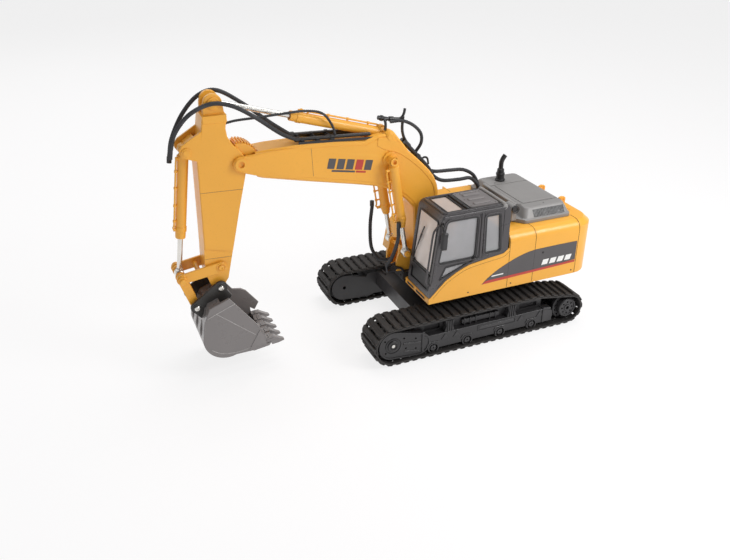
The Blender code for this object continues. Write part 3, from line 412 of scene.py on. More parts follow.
# ---- solids: bmeshes in the machine's frame ----


def place(axis, a, b, along):
    return {"X": (along, a, b), "Y": (a, along, b), "Z": (a, b, along)}[axis]


def loft(rings):
    """A closed solid through rings of the same number of points."""
    mesh = bmesh.new()
    rows = [[mesh.verts.new(p) for p in ring] for ring in rings]
    for near, far in zip(rows, rows[1:]):
        for i in range(len(near)):
            j = (i + 1) % len(near)
            mesh.faces.new((near[i], near[j], far[j], far[i]))
    mesh.faces.new(rows[0][::-1])
    mesh.faces.new(rows[-1])
    bmesh.ops.recalc_face_normals(mesh, faces=mesh.faces)
    return mesh


def prism(outline, low, high, axis="Y"):
    """An outline pushed from low to high along an axis. Along Y it is drawn as (x, z)."""
    return loft([[place(axis, a, b, at) for a, b in outline] for at in (low, high)])


def box(low, high):
    return prism(rectangle(low[:2], high[:2]), low[2], high[2], "Z")


def turned(start, end, profile, sides):
    """A solid of rings (distance along, radius) from start towards end."""
    begin = Vector(start)
    along = (Vector(end) - begin).normalized()
    side = along.orthogonal().normalized()
    other = along.cross(side)
    spokes = [2 * math.pi * (i + 0.5) / sides for i in range(sides)]
    return loft([
        [begin + along * d + (side * math.cos(a) + other * math.sin(a)) * r for a in spokes]
        for d, r in profile
    ])


def rod(start, end, radius, sides):
    return turned(start, end, [(0, radius), (math.dist(start, end), radius)], sides)


def pin(at, low, high, radius, sides=24):
    """A round pin along Y."""
    return rod((at[0], low, at[1]), (at[0], high, at[1]), radius, sides)


def tube(points, radius, sides, wave=None):
    """A round tube along points; wave(distance, angle) adds to its radius."""
    knots = [Vector(p) for p in points]
    side = (knots[1] - knots[0]).orthogonal().normalized()
    rings = []
    travelled = 0
    for i, at in enumerate(knots):
        along = (knots[min(i + 1, len(knots) - 1)] - knots[max(i - 1, 0)]).normalized()
        side = (side - along * side.dot(along)).normalized()
        other = along.cross(side)
        travelled += (at - knots[i - 1]).length if i else 0
        ring = []
        for j in range(sides):
            a = 2 * math.pi * j / sides
            r = radius + (wave(travelled, a) if wave else 0)
            ring.append(at + (side * math.cos(a) + other * math.sin(a)) * r)
        rings.append(ring)
    return loft(rings)


def bent(points, steps, radius, sides):
    """A round bar along a smooth line through the points."""
    return tube(smooth_line(points, steps), radius, sides)


def joined(*solids):
    """Several closed solids in one mesh, left as they are."""
    whole = bmesh.new()
    for solid in solids:
        held = bpy.data.meshes.new("held")
        solid.to_mesh(held)
        solid.free()
        whole.from_mesh(held)
        bpy.data.meshes.remove(held)
    return whole


def flipped(solid):
    """The solid reflected to the machine's other side."""
    for vert in solid.verts:
        vert.co.y = -vert.co.y
    bmesh.ops.reverse_faces(solid, faces=solid.faces)
    return solid


# ---- pieces ----

WELD_M = 0.00002
FLAT_DEGREES = 0.4
CAD_WELD_M = 0.00001
CAD_FLAT_DEGREES = 0.5
CAD_EDGE = 0.35
SHARP_DEGREES = 32


def raw(name, solid):
    for vert in solid.verts:
        vert.co = vert.co * MM + OFFSET
    mesh = bpy.data.meshes.new(name)
    solid.to_mesh(mesh)
    solid.free()
    obj = bpy.data.objects.new(name, mesh)
    bpy.context.scene.collection.objects.link(obj)
    return obj


def carve(obj, adds, cuts):
    """Joins and cuts the solids with exact Booleans and keeps the result as plain mesh."""
    tools = []
    for operation, solids in (("UNION", adds), ("DIFFERENCE", cuts)):
        for solid in solids:
            tool = raw("tool", solid)
            tools.append(tool)
            modifier = obj.modifiers.new(operation, "BOOLEAN")
            modifier.operation = operation
            modifier.solver = "EXACT"
            modifier.object = tool
    bpy.context.view_layer.update()
    shaped = obj.evaluated_get(bpy.context.evaluated_depsgraph_get())
    mesh = bpy.data.meshes.new_from_object(shaped)
    obj.modifiers.clear()
    old = obj.data
    obj.data = mesh
    bpy.data.meshes.remove(old)
    for tool in tools:
        held = tool.data
        bpy.data.objects.remove(tool)
        bpy.data.meshes.remove(held)


def tidy_mesh(mesh):
    """Welds Boolean seams and merges flat neighbours, so that edges bevel cleanly."""
    work = bmesh.new()
    work.from_mesh(mesh)
    bmesh.ops.remove_doubles(work, verts=work.verts, dist=WELD_M)
    bmesh.ops.dissolve_limit(work, angle_limit=math.radians(FLAT_DEGREES), verts=work.verts,
        edges=work.edges)
    work.to_mesh(mesh)
    work.free()


def round_edges(obj, width):
    modifier = obj.modifiers.new("edges", "BEVEL")
    modifier.width = width * MM
    modifier.segments = 2
    modifier.limit_method = "ANGLE"
    modifier.angle_limit = math.radians(SHARP_DEGREES)
    modifier.use_clamp_overlap = True
    weighted = obj.modifiers.new("normals", "WEIGHTED_NORMAL")
    weighted.weight = 60


def finished(name, body, look, solid, adds=(), cuts=(), edge=0.35, replaces=(), slot=None,
             smooth=SHARP_DEGREES):
    """A named piece with its material, riding on a body."""
    obj = raw(name, solid)
    if adds or cuts:
        carve(obj, adds, cuts)
        tidy_mesh(obj.data)
    obj.data.materials.clear()
    obj.data.materials.append(LOOKS[look])
    obj.data.shade_smooth()
    if edge:
        round_edges(obj, edge)
    else:
        obj.data.set_sharp_from_angle(angle=math.radians(smooth))
    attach(obj, body)
    if replaces:
        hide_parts(*replaces)
    return obj


def plain_piece(name, body, look, *solids, **more):
    """Solids that are only joined, without rounded edges."""
    return finished(name, body, look, joined(*solids), edge=0, **more)


NODE_LOOKS = {
    "yellow_plastic": "yellow",
    "charcoal_plastic": "charcoal",
    "undercarriage_plastic": "under",
    "wheel_plastic": "wheel",
    "track_rubber": "track",
    "hood_plastic": "hood",
    "bucket_plastic": "bucket",
    "black_plastic": "black",
    "steel": "steel",
    "clear_liner": "glass",
    "circuit_board": "board",
    "hose_rubber": "hose",
}


def dress_cad_nodes():
    """Gives every carried-over CAD node its material and softly rounded edges."""
    for part in frame["record"]["subparts"]:
        obj = frame["nodes"][part["node"]]
        obj.data.materials.clear()
        obj.data.materials.append(LOOKS[NODE_LOOKS[part["material_slot"]]])
        obj.data.polygons.foreach_set("material_index", [0] * len(obj.data.polygons))
        weld = obj.modifiers.new("weld", "WELD")
        weld.merge_threshold = CAD_WELD_M
        flat = obj.modifiers.new("flat", "DECIMATE")
        flat.decimate_type = "DISSOLVE"
        flat.angle_limit = math.radians(CAD_FLAT_DEGREES)
        round_edges(obj, CAD_EDGE)


# ---- undercarriage ----

SHOES = 58
SHOE_SHARE = 0.78
SHOE_PLATE = 1.45
SHOE_RIDGE = 2.2
LINK_THICKNESS = 2
TOP_BEND = (72, 40)
TOP_BEND_RADIUS = 8.5
LUG_Y = 8.4


class Belt:
    """The track's path round the idler, the bend in the top run and the sprocket."""

    def __init__(self, side):
        low, high = node_box(f"track_belt_{side}")
        idler = pivot(f"idler_turn_{side}")
        sprocket = pivot(f"track_drive_{side}")
        self.low_y = low.y
        self.high_y = high.y
        front = idler[1] - SHOE_RIDGE
        rear = sprocket[1] - SHOE_RIDGE
        self.circles = [(*idler, front), (*TOP_BEND, TOP_BEND_RADIUS - SHOE_RIDGE),
                        (*sprocket, rear)]
        self.arcs = self.find_arcs()
        self.length = sum(r * (a - b) for _, r, a, b in self.arcs)
        self.length += sum(self.run(i) for i in range(len(self.arcs)))
        self.pitch = self.length / SHOES

    def find_arcs(self):
        leave = []
        for i, (x0, z0, r0) in enumerate(self.circles):
            x1, z1, r1 = self.circles[(i + 1) % len(self.circles)]
            tilt = math.asin((r1 - r0) / math.hypot(x1 - x0, z1 - z0))
            leave.append(math.atan2(z1 - z0, x1 - x0) + math.pi / 2 + tilt)
        found = []
        for i, (x, z, r) in enumerate(self.circles):
            away = leave[i]
            while away > leave[i - 1]:
                away -= 2 * math.pi
            found.append(((x, z), r, leave[i - 1], away))
        return found

    def run(self, i):
        centre, radius, _, leave = self.arcs[i]
        after, after_radius, _, _ = self.arcs[(i + 1) % len(self.arcs)]
        return math.dist(polar(centre, radius, leave), polar(after, after_radius, leave))

    def at(self, distance):
        """(x, z) on the path and the direction outwards there, as an angle."""
        left = distance % self.length
        for i, (centre, radius, arrive, leave) in enumerate(self.arcs):
            bend = radius * (arrive - leave)
            if left <= bend:
                angle = arrive - left / radius
                return polar(centre, radius, angle), angle
            left -= bend
            if left <= self.run(i):
                base = polar(centre, radius, leave)
                return (base[0] + left * math.sin(leave), base[1] - left * math.cos(leave)), leave
            left -= self.run(i)
        return self.at(0)


def shoe_plate(belt, i):
    """One shoe: a plate with clipped corners and a ridge along its leading edge."""
    (x, z), angle = belt.at((i + SHOE_SHARE / 2) * belt.pitch)
    half = belt.pitch * SHOE_SHARE / 2
    wide = (belt.high_y - belt.low_y) / 2
    clip = 2.2
    plan = [(-half, -wide + clip), (-half + clip, -wide), (half - clip / 2, -wide),
            (half, -wide + clip / 2)]
    plan += [(a, -b) for a, b in plan[::-1]]
    plate = loft([[(a, b, at) for a, b in plan] for at in (-0.6, SHOE_PLATE - 0.3)] + [
        [(a * 0.93, b * 0.985, SHOE_PLATE) for a, b in plan]
    ])
    reach = wide - clip - 0.6
    top = [(-half + 0.5, 0.4), (-half + 0.9, SHOE_RIDGE), (-half + 1.9, SHOE_RIDGE),
           (-half + 2.6, 0.4)]
    back = [(half - 1.5, 0.4), (half - 1.2, SHOE_PLATE + 0.3), (half - 0.6, SHOE_PLATE + 0.3),
            (half - 0.3, 0.4)]
    shoe = joined(plate, prism(top, -reach, reach), prism(back, -reach, reach))
    middle = (belt.low_y + belt.high_y) / 2
    turn = Matrix.Rotation(math.pi / 2 - angle, 4, "Y")
    shoe.transform(Matrix.Translation((x, middle, z)) @ turn)
    return shoe


def link_band(belt):
    """The band under the shoes, with three windows in every gap between shoes."""
    wide = (belt.high_y - belt.low_y) / 2
    middle = (belt.low_y + belt.high_y) / 2
    columns = [-wide, -15.2, -10.6, -6.2, 6.2, 10.6, 15.2, wide]
    open_columns = (1, 3, 5)
    stops = []
    for i in range(SHOES):
        stops += [(i, False), (i + SHOE_SHARE * 0.5, False), (i + SHOE_SHARE + 0.02, True)]
    mesh = bmesh.new()
    grid = []
    for where, _ in stops:
        centre, angle = belt.at(where * belt.pitch)
        row = []
        for depth in (0, -LINK_THICKNESS):
            x, z = polar(centre, depth, angle)
            row.append([mesh.verts.new((x, middle + y, z)) for y in columns])
        grid.append(row)

    def solid(i, j):
        return 0 <= j < len(columns) - 1 and not (stops[i % len(stops)][1] and j in open_columns)

    for i in range(len(stops)):
        near = grid[i]
        far = grid[(i + 1) % len(stops)]
        for j in range(len(columns) - 1):
            if not solid(i, j):
                continue
            mesh.faces.new((near[0][j], far[0][j], far[0][j + 1], near[0][j + 1]))
            mesh.faces.new((near[1][j], near[1][j + 1], far[1][j + 1], far[1][j]))
            if not solid(i, j - 1):
                mesh.faces.new((near[0][j], near[1][j], far[1][j], far[0][j]))
            if not solid(i, j + 1):
                mesh.faces.new((near[0][j + 1], far[0][j + 1], far[1][j + 1], near[1][j + 1]))
            if not solid(i - 1, j):
                mesh.faces.new((near[0][j], near[0][j + 1], near[1][j + 1], near[1][j]))
            if not solid(i + 1, j):
                mesh.faces.new((far[0][j], far[1][j], far[1][j + 1], far[0][j + 1]))
    bmesh.ops.recalc_face_normals(mesh, faces=mesh.faces)
    return mesh


def guide_teeth(belt):
    """The pairs of drive lugs on the inside of the band."""
    middle = (belt.low_y + belt.high_y) / 2
    lugs = []
    for i in range(SHOES):
        centre, angle = belt.at((i + SHOE_SHARE / 2) * belt.pitch)
        for y in (-LUG_Y, LUG_Y):
            lug = loft([
                [(a, b, at - LINK_THICKNESS) for a, b in rectangle((-wide, y - long),
                    (wide, y + long))]
                for wide, long, at in ((1.9, 1.8, 0.2), (1.2, 1.2, -1.1))
            ])
            turn = Matrix.Rotation(math.pi / 2 - angle, 4, "Y")
            lug.transform(Matrix.Translation((centre[0], middle, centre[1])) @ turn)
            lugs.append(lug)
    return lugs


def build_tracks():
    for side, _ in SIDES:
        belt = Belt(side)
        shoes = joined(*[shoe_plate(belt, i) for i in range(SHOES)])
        finished(f"track_shoes_{side}", "undercarriage", "track", shoes, edge=0, smooth=25,
                 replaces=[f"track_belt_{side}"])
        band = joined(link_band(belt), *guide_teeth(belt))
        finished(f"track_band_{side}", "undercarriage", "track", band, edge=0, smooth=25)


# ---- boom, arm and bucket ----

BOOM_FOOT = pivot("boom_lift")
LIFT_TOP = pivot("lift_barrel_tilt")
LIFT_BASE = pivot("lift_rod_tilt")
ARM_PIN = pivot("arm_swing")
ARM_CYL_BASE = pivot("arm_barrel_tilt")
ARM_CYL_TOP = pivot("arm_rod_tilt")
BUCKET_PIN = pivot("bucket_curl")
ROCKER_PIN = pivot("rocker_swing")
ROCKER_TIP = pivot("link_swing")
CURL_TOP = pivot("curl_barrel_tilt")
LINK_PIN = (-311, 81)
LIFT_Y = 21
BARREL = 6
ROD = 2.7
ROD_EYE = 4.8
ROD_EYE_HALF = 4.2
DECAL_SLOPE = -0.17


def inset(points, depth):
    """The outline moved inwards by the depth."""
    area = sum(a[0] * b[1] - b[0] * a[1] for a, b in zip(points, points[1:] + points[:1]))
    turn = 1 if area > 0 else -1
    done = []
    for i, corner in enumerate(points):
        here = Vector(corner)
        before = (here - Vector(points[i - 1])).normalized()
        after = (Vector(points[(i + 1) % len(points)]) - here).normalized()
        n1 = Vector((-before.y, before.x)) * turn
        n2 = Vector((-after.y, after.x)) * turn
        done.append(tuple(here + (n1 + n2) * depth / max(1 + n1.dot(n2), 0.35)))
    return done


def slab(outline, low, high, chamfer, axis="Y"):
    """An outline pushed along an axis, with a chamfer round both faces."""
    small = inset(outline, chamfer)
    levels = ((small, low), (outline, low + chamfer), (outline, high - chamfer), (small, high))
    return loft([[place(axis, a, b, at) for a, b in ring] for ring, at in levels])


def boss(at, low, high, radius, ring=1.2, step=0.8):
    """A pin's end: a disc with a smaller raised ring on it, towards high."""
    way = 1 if high > low else -1
    long = abs(high - low)
    profile = [(0, radius), (long - step - 0.4, radius), (long - step, radius - 0.4)]
    profile += [(long - step, radius - ring), (long - 0.3, radius - ring),
                (long, radius - ring - 0.3)]
    return turned((at[0], low, at[1]), (at[0], high + way, at[1]), profile, 28)


def boom_outline():
    tip = arc(ARM_PIN, 7.6, 215, 110, 8)
    top = [(-243, 238.5), (-220, 240.2), (-189, 240.6), (-149, 238.5), (-118, 235.5)]
    hump = [(-104, 240)] + arc(ARM_CYL_BASE, 6.5, 150, 40, 8) + [(-76, 231)]
    rear = smooth_line([(-66, 218), (-50, 203), (-35, 186), (-28, 168), (-28.5, 145)], 3)
    rear.append((-33, 112))
    belly = [(-58, 150), (-68, 162), (-82, 173), (-98.6, 181.5), (-131, 189.5)]
    front = [(-56.5, 112)] + smooth_line(belly, 3)
    under = [(-182.6, 200.5), (-229.6, 211), (-246.4, 217)]
    return tip + top + hump + rear + front + under


def cheek(side):
    """The thicker wall round the arm pin, which runs out into the boom's side."""
    outline = [(-182, 203.2), (-182, 238.2), (-222, 238.4), (-238, 237.6)]
    outline += arc(ARM_PIN, 7.6, 110, 250, 12) + [(-246.4, 219), (-229.6, 213.4)]
    low, high = sorted((side * 13.6, side * 18))
    solid = slab(outline, low, high, 0.8)
    for vert in solid.verts:
        share = min(1, max(0, (-184 - vert.co.x) / 46))
        depth = abs(vert.co.y) - 13.6
        vert.co.y = side * (13.6 + depth * (0.2 + 0.8 * share))
    return solid


def build_boom():
    body = slab(boom_outline(), -14.5, 14.5, 1.5)
    foot = [(-56.5, 113), (-33, 113)] + arc(BOOM_FOOT, 8, 0, -180, 12)
    adds = [slab(foot, -11, 11, 0.8), pin(LIFT_TOP, -17, 17, 8.4, 32)]
    adds += [pin(LIFT_TOP, -27.5, 27.5, 4.4, 28), pin(ARM_PIN, -18.8, 18.8, 6.2, 32)]
    adds += [cheek(side) for side in (-1, 1)]
    panel = inset(boom_outline(), 4.4)
    gap = [(-300, 150), (-300, 300), (-241, 300), (-236, 243), (-234, 214), (-250, 190)]
    mouth = [(-120, 238.5), (-101, 229.5), (-80, 229.5), (-80, 260), (-120, 260)]
    cuts = [prism(gap, -14.6, 14.6), prism(mouth, -6.6, 6.6), pin(BOOM_FOOT, -20, 20, 3.1)]
    cuts.append(pin(ARM_PIN, -11.8, 11.8, 21.5, 40))
    for side in (-1, 1):
        cuts.append(pin(LIFT_TOP, side * 25, side * 30, 2.5))
        cuts.append(pin(ARM_PIN, side * 16.6, side * 20, 3.3))
        adds.append(slab(panel, side * 14.65 - 0.35, side * 14.65 + 0.35, 0.25))
    inner = smooth_line([(-104, 229), (-95, 223.6), (-81.5, 218.9), (-69.8, 211.6), (-58.9, 202.6),
                         (-47.2, 191.2), (-37.8, 178.7), (-33.4, 168), (-32.8, 152)], 4)
    outer = [(-30.6, 152), (-30.2, 167.6)]
    outer += smooth_line([(-36.4, 184.4), (-51, 201), (-67, 215.6)], 3)
    outer += [(-77.6, 228), (-88, 236), (-103, 237.6)]
    adds += [slab(inner + outer, side * 15.2 - 0.45, side * 15.2 + 0.45, 0.3) for side in (-1, 1)]
    finished("boom_body", "boom", "yellow", body, adds, cuts, 0.3, ["boom"])
    lines = [rod((x0, y, z0), (x1, y, z1), 0.16, 6)
             for x0, z0, x1, z1 in ((-176, 205.4, -177.5, 236), (-40, 158, -28.8, 148))
             for y in (-15.02, 15.02)]
    lines.append(rod((-150, -9, 240.9), (-150, 9, 240.9), 0.15, 6))
    plain_piece("boom_seams", "boom", "decal_dark", *lines, slot="yellow_plastic")
    build_boom_decal()
    build_boom_pipes()
    nuts = [boss(ARM_CYL_BASE, side * 14.2, side * 16.4, 4.6) for side in (-1, 1)]
    finished("boom_pin_caps", "boom", "yellow", joined(*nuts), edge=0.2)


def slanted(x, z, width, height, lean, y):
    """A leaning bar on a side face, which follows the panel's fall."""
    fall = DECAL_SLOPE * width
    corners = [(x, z), (x + width, z + fall), (x + width + lean, z + fall + height),
               (x + lean, z + height)]
    return prism(corners, y, y + 0.3)


def build_boom_decal():
    """Plain slanted bars with an underline on each side of the boom; the fourth bar is red."""
    for name, y in (("left", -15.28), ("right", 14.98)):
        bars = [slanted(x, 211.6 + (x + 161) * DECAL_SLOPE, 8, 10.8, 2.6, y)
                for x in (-161 + i * 10.4 for i in range(5))]
        red = [bars.pop(3), slanted(-128.5, 202.9, 11, 1.9, 0.4, y)]
        bars.append(slanted(-156, 207.6, 26, 1.9, 0.4, y))
        plain_piece(f"boom_decal_{name}", "boom", "decal_dark", *bars)
        plain_piece(f"boom_mark_{name}", "boom", "decal_red", *red)


def build_boom_pipes():
    """Two rigid pipes in a tray along the top of the boom."""
    pipes = []
    for y in (-9.2, 9.2):
        run = [(-192, y, 245.2), (-186, y, 244.8), (-150, y, 243.2), (-118, y, 241.7),
               (-110, y, 241.2)]
        pipes.append(bent(run, 4, 1.9, 14))
        pipes.append(turned((-193, y, 245.3), (-180, y, 244.6),
                            [(0, 2.3), (0.5, 2.7), (5, 2.7), (5.5, 2.2)], 6))
    for x in (-187, -171, -155):
        pipes.append(box((x, -12, 241), (x + 4.4, 12, 242.6)))
        for y in (-9.2, 9.2):
            pipes.append(rod((x + 0.6, y, 243.9), (x + 3.8, y, 243.75), 2.25, 16))
            pipes.append(rod((x + 2.2, y * 0.55, 242), (x + 2.2, y * 0.55, 243.6), 1.1, 12))
    plain_piece("boom_pipe_run", "boom", "black", *pipes, replaces=["boom_pipes"])
    rails = [prism([(-190, 240.4), (-108, 236.2), (-108, 238.8), (-190, 243.2)], y, y + 0.9)
             for y in (-13, 12.1)]
    finished("boom_tray", "boom", "black", joined(*rails), edge=0.2)


def arm_outline():
    top = [(-284.5, 280), (-261.5, 280), (-261.9, 272), (-263, 266), (-262, 258), (-257, 249)]
    lobe = [(-250, 241.5)] + arc(ARM_PIN, 8, 50, -40, 8)
    low = [(-247.6, 214), (-255.8, 181.8), (-273.5, 106)]
    foot = arc(BUCKET_PIN, 7.6, 15, -160, 12)
    front = [(-297, 116), (-295.5, 150), (-294.6, 188), (-293.6, 239), (-287, 265)]
    return top + lobe + low + foot + front


def build_arm():
    body = slab(arm_outline(), -14, 14, 0.9)
    lug = [(-283, 279), (-282.4, 289)] + arc((-272.5, 290.5), 9.2, 170, 10, 14) + [(-262, 279)]
    adds = [slab(lug, -10, -5.7, 0.5), slab(lug, 5.7, 10, 0.5)]
    bracket = [(-286, 266.5), (-306, 254.6), (-309.3, 250.4), (-309.6, 246), (-306.8, 241.6)]
    bracket += [(-302.8, 240.4), (-292, 236.6)]
    adds += [slab(bracket, -14, -11, 0.4), slab(bracket, 11, 14, 0.4)]
    adds += [pin(ARM_CYL_TOP, -9, 9, 2.3), pin(CURL_TOP, -13, 13, 2.3)]
    adds += [pin(ROCKER_PIN, -16.8, 16.8, 2.6), pin(BUCKET_PIN, -20.8, 20.8, 2.3)]
    adds.append(slab([(-284.8, 272.6), (-261.2, 272.6), (-261.2, 280.2), (-284.8, 280.2)], -14.7,
                     14.7, 0.5))
    rib = [(-292.5, 258.5), (-302, 252.4), (-301, 251), (-292, 256)]
    adds.append(prism(rib, -11.5, 11.5))
    for side in (-1, 1):
        adds.append(boss(ARM_CYL_TOP, side * 9.6, side * 12.4, 6, 2.2, 1))
        adds.append(boss(CURL_TOP, side * 13.4, side * 16.2, 4.8, 1.7, 0.9))
        adds.append(boss(ARM_PIN, side * 13.4, side * 14.4, 6.8, 1, 0.3))
    thin = [prism([(-320, 80), (-260, 80), (-260, 135), (-320, 150)], side, side + 2)
            for side in (12.5, -14.5)]
    cuts = thin + [pin(ARM_PIN, -20, 20, 3.2)]
    cuts.append(prism([(-272.5, 280.9), (-266, 277.6), (-258, 272), (-255, 272), (-255, 284),
                       (-272.5, 284)], -5.5, 5.5))
    finished("arm_body", "arm", "yellow", body, adds, cuts, 0.3, ["arm"])
    caps = [turned((ROCKER_PIN[0], side * 15, ROCKER_PIN[1]),
                   (ROCKER_PIN[0], side * 30, ROCKER_PIN[1]),
                   [(0, 2.9), (2.6, 2.9), (2.9, 2.5), (2.9, 1.3), (2.4, 1.1)], 24)
            for side in (-1, 1)]
    plain_piece("arm_foot_pins", "arm", "yellow", *caps)
    build_arm_details()


def build_arm_details():
    lines = [rod((-293.6, y, 204.2), (-250.6, y, 202.6), 0.17, 6) for y in (-14.02, 14.02)]
    lines += [rod((-296, y, 131.4), (-267.8, y, 130.2), 0.16, 6) for y in (-12.52, 12.52)]
    plain_piece("arm_seams", "arm", "decal_dark", *lines, slot="yellow_plastic")
    rim = []
    for i in range(13):
        a, b = (math.radians(-12 + i * 8.6 + far) for far in (0, 4.6))
        corners = ((18.8, a), (21, a), (21, b), (18.8, b))
        rim.append(prism([polar(ARM_PIN, radius, angle) for radius, angle in corners], -9, 9))
    core = arc(ARM_PIN, 19.4, -14, 100, 20) + arc(ARM_PIN, 9, 100, -14, 10)
    rim.append(slab(core, -10.6, 10.6, 0.4))
    finished("arm_knuckle", "arm", "yellow", joined(*rim), edge=0.15)


def along_line(start, end, distance):
    return Vector(start) + (Vector(end) - Vector(start)).normalized() * distance


def cylinder_barrel(name, body, node, high, low, length, pipe_side):
    """A barrel: an eye, a collared tail, a tapered open nose, and a thin pipe held by clips."""
    eye = pin((high[0], high[2]), high[1] - 4.6, high[1] + 4.6, 5.4, 32)
    profile = [(3.6, 3.4), (5.6, 5), (6.6, BARREL), (9.6, BARREL), (10, BARREL - 0.5)]
    profile += [(length - 13, BARREL - 0.5), (length - 12.4, BARREL), (length - 7.5, BARREL)]
    lip = ROD + (0.7 if "lift" in name else 1.7)
    profile += [(length - 6.8, BARREL - 0.7), (length - 0.6, lip + 0.8), (length, lip + 0.5),
                (length, lip)]
    profile += [(length - 3, lip + 0.1), (length - 3.6, BARREL - 1.1), (12, BARREL - 1.1)]
    shell = turned(high, low, profile, 32)
    hole_radius = 4.9 if "lift" in name else 2.8
    hole = pin((high[0], high[2]), high[1] - 20, high[1] + 20, hole_radius, 24)
    finished(name, body, "yellow", shell, [eye], [hole], 0.25, [node])
    offset = Vector(pipe_side)
    points = [along_line(high, low, d) + offset * k for d, k in (
        (9, 0.78), (11, 1.04), (20, 1.06), (length * 0.5, 1.06), (length - 16, 1.06),
        (length - 12, 1.2), (length - 9.5, 1), (length - 9, 0.7))]
    parts = [bent(points, 5, 0.95, 10)]
    for d in (22, length * 0.42, length * 0.62, length - 19):
        foot = along_line(high, low, d) + offset * 0.62
        head = along_line(high, low, d) + offset * 1.22
        parts.append(rod(foot, head, 0.9, 8))
        centre = along_line(high, low, d - 1.1) + offset * 1.06
        parts.append(rod(centre, along_line(high, low, d + 1.1) + offset * 1.06, 1.5, 12))
    parts.append(rod(along_line(high, low, 9) + offset * 0.6,
                     along_line(high, low, 9) + offset * 1.1, 1.7, 12))
    end = along_line(high, low, length - 9.5)
    parts.append(rod(end + offset * 0.6, end + offset * 1.12, 1.7, 12))
    plain_piece(f"{name}_pipe", body, "yellow", *parts)


def cylinder_rod(name, body, node, high, low, length):
    """A bright rod with an eye at its foot."""
    x, y, z = low
    eye = turned((x, y - ROD_EYE_HALF, z), (x, y + ROD_EYE_HALF, z),
                 [(0, ROD_EYE - 0.5), (0.5, ROD_EYE), (ROD_EYE_HALF * 2 - 0.5, ROD_EYE),
                  (ROD_EYE_HALF * 2, ROD_EYE - 0.5)], 32)
    tail = 3 if "lift" in name else 30
    profile = [(2, ROD), (length - tail, ROD), (length - tail + 1, 1.6), (length, 1.6)]
    shaft = turned(low, high, profile, 28)
    collar = turned(low, high, [(ROD_EYE - 1, 3.6), (ROD_EYE + 1.2, 3.6), (ROD_EYE + 2, ROD)], 24)
    hole = pin((x, z), y - 20, y + 20, 2.8, 20)
    finished(name, body, "steel", shaft, [eye, collar], [hole], 0.15, [node])


def build_cylinders():
    for side, sign in SIDES:
        high = (LIFT_TOP[0], sign * LIFT_Y, LIFT_TOP[1])
        low = (LIFT_BASE[0], sign * LIFT_Y, LIFT_BASE[1])
        pipe = (-8.6, sign * 1.8, -1.6)
        cylinder_barrel(f"lift_tube_{side}", "lift_barrels", f"lift_barrel_{side}", high, low,
                        80, pipe)
        cylinder_rod(f"lift_piston_{side}", "lift_rods", f"lift_rod_{side}", high, low, 66)
    low = (ARM_CYL_BASE[0], 0, ARM_CYL_BASE[1])
    high = (ARM_CYL_TOP[0], 0, ARM_CYL_TOP[1])
    cylinder_barrel("arm_tube", "arm_barrel", "arm_barrel", low, high, 110, (1.9, 0, 6.8))
    cylinder_rod("arm_piston", "arm_rod", "arm_rod", low, high, 140)
    high = (CURL_TOP[0], 0, CURL_TOP[1])
    low = (ROCKER_TIP[0], 0, ROCKER_TIP[1])
    cylinder_barrel("curl_tube", "curl_barrel", "curl_barrel", high, low, 93, (-6.6, -2, 0.9))
    cylinder_rod("curl_piston", "curl_rod", "curl_rod", high, low, 100)


def build_linkage():
    side = capsule(ROCKER_PIN, ROCKER_TIP, 5.9, 32, 5.4)
    plate = slab(side, -16, -13.2, 0.4)
    adds = [slab(side, 13.2, 16, 0.4), pin(ROCKER_TIP, -18, 18, 2.3),
            pin((-303, 117.2), -14, 14, 2.6)]
    for sign in (-1, 1):
        adds.append(boss(ROCKER_TIP, sign * 15, sign * 22.4, 4.6, 1.4, 2.2))
        adds.append(boss(ROCKER_TIP, sign * 15.6, sign * 17.2, 5.6, 0.9, 0.5))
        adds.append(turned((-281, sign * 15.8, 121), (-281, sign * 18, 121),
                           [(0, 5), (0.6, 5), (0.9, 4.7), (0.9, 4), (0.4, 4)], 28))
    finished("rocker_plates", "rocker", "yellow", plate, adds, [pin(ROCKER_PIN, -30, 30, 3)], 0.25,
             ["rocker"])
    bar = capsule(ROCKER_TIP, LINK_PIN, 4.8, 28)
    near = slab(bar, -12.4, -8.4, 0.5)
    web = slab(capsule((-315, 93), LINK_PIN, 3.2, 20), -9, 9, 0.4)
    adds = [slab(bar, 8.4, 12.4, 0.5), web, pin(LINK_PIN, -13.5, 13.5, 3.6)]
    adds += [pin(ROCKER_TIP, sign * 7.6, sign * 8.8, 5.4) for sign in (-1, 1)]
    finished("link_plates", "bucket_link", "yellow", near, adds, [pin(ROCKER_TIP, -20, 20, 2.8)],
             0.25, ["bucket_link"])


def bucket_shell(depth):
    lip = [(-240, 25.5 + depth), (-256, 22.4 + depth)]
    bottom = arc((-285.5, 45.8), 25.2 - depth, -70, -180, 20)
    return lip + bottom + [(-307.5 + depth, 68), (-300.5 + depth * 0.6, 84)]


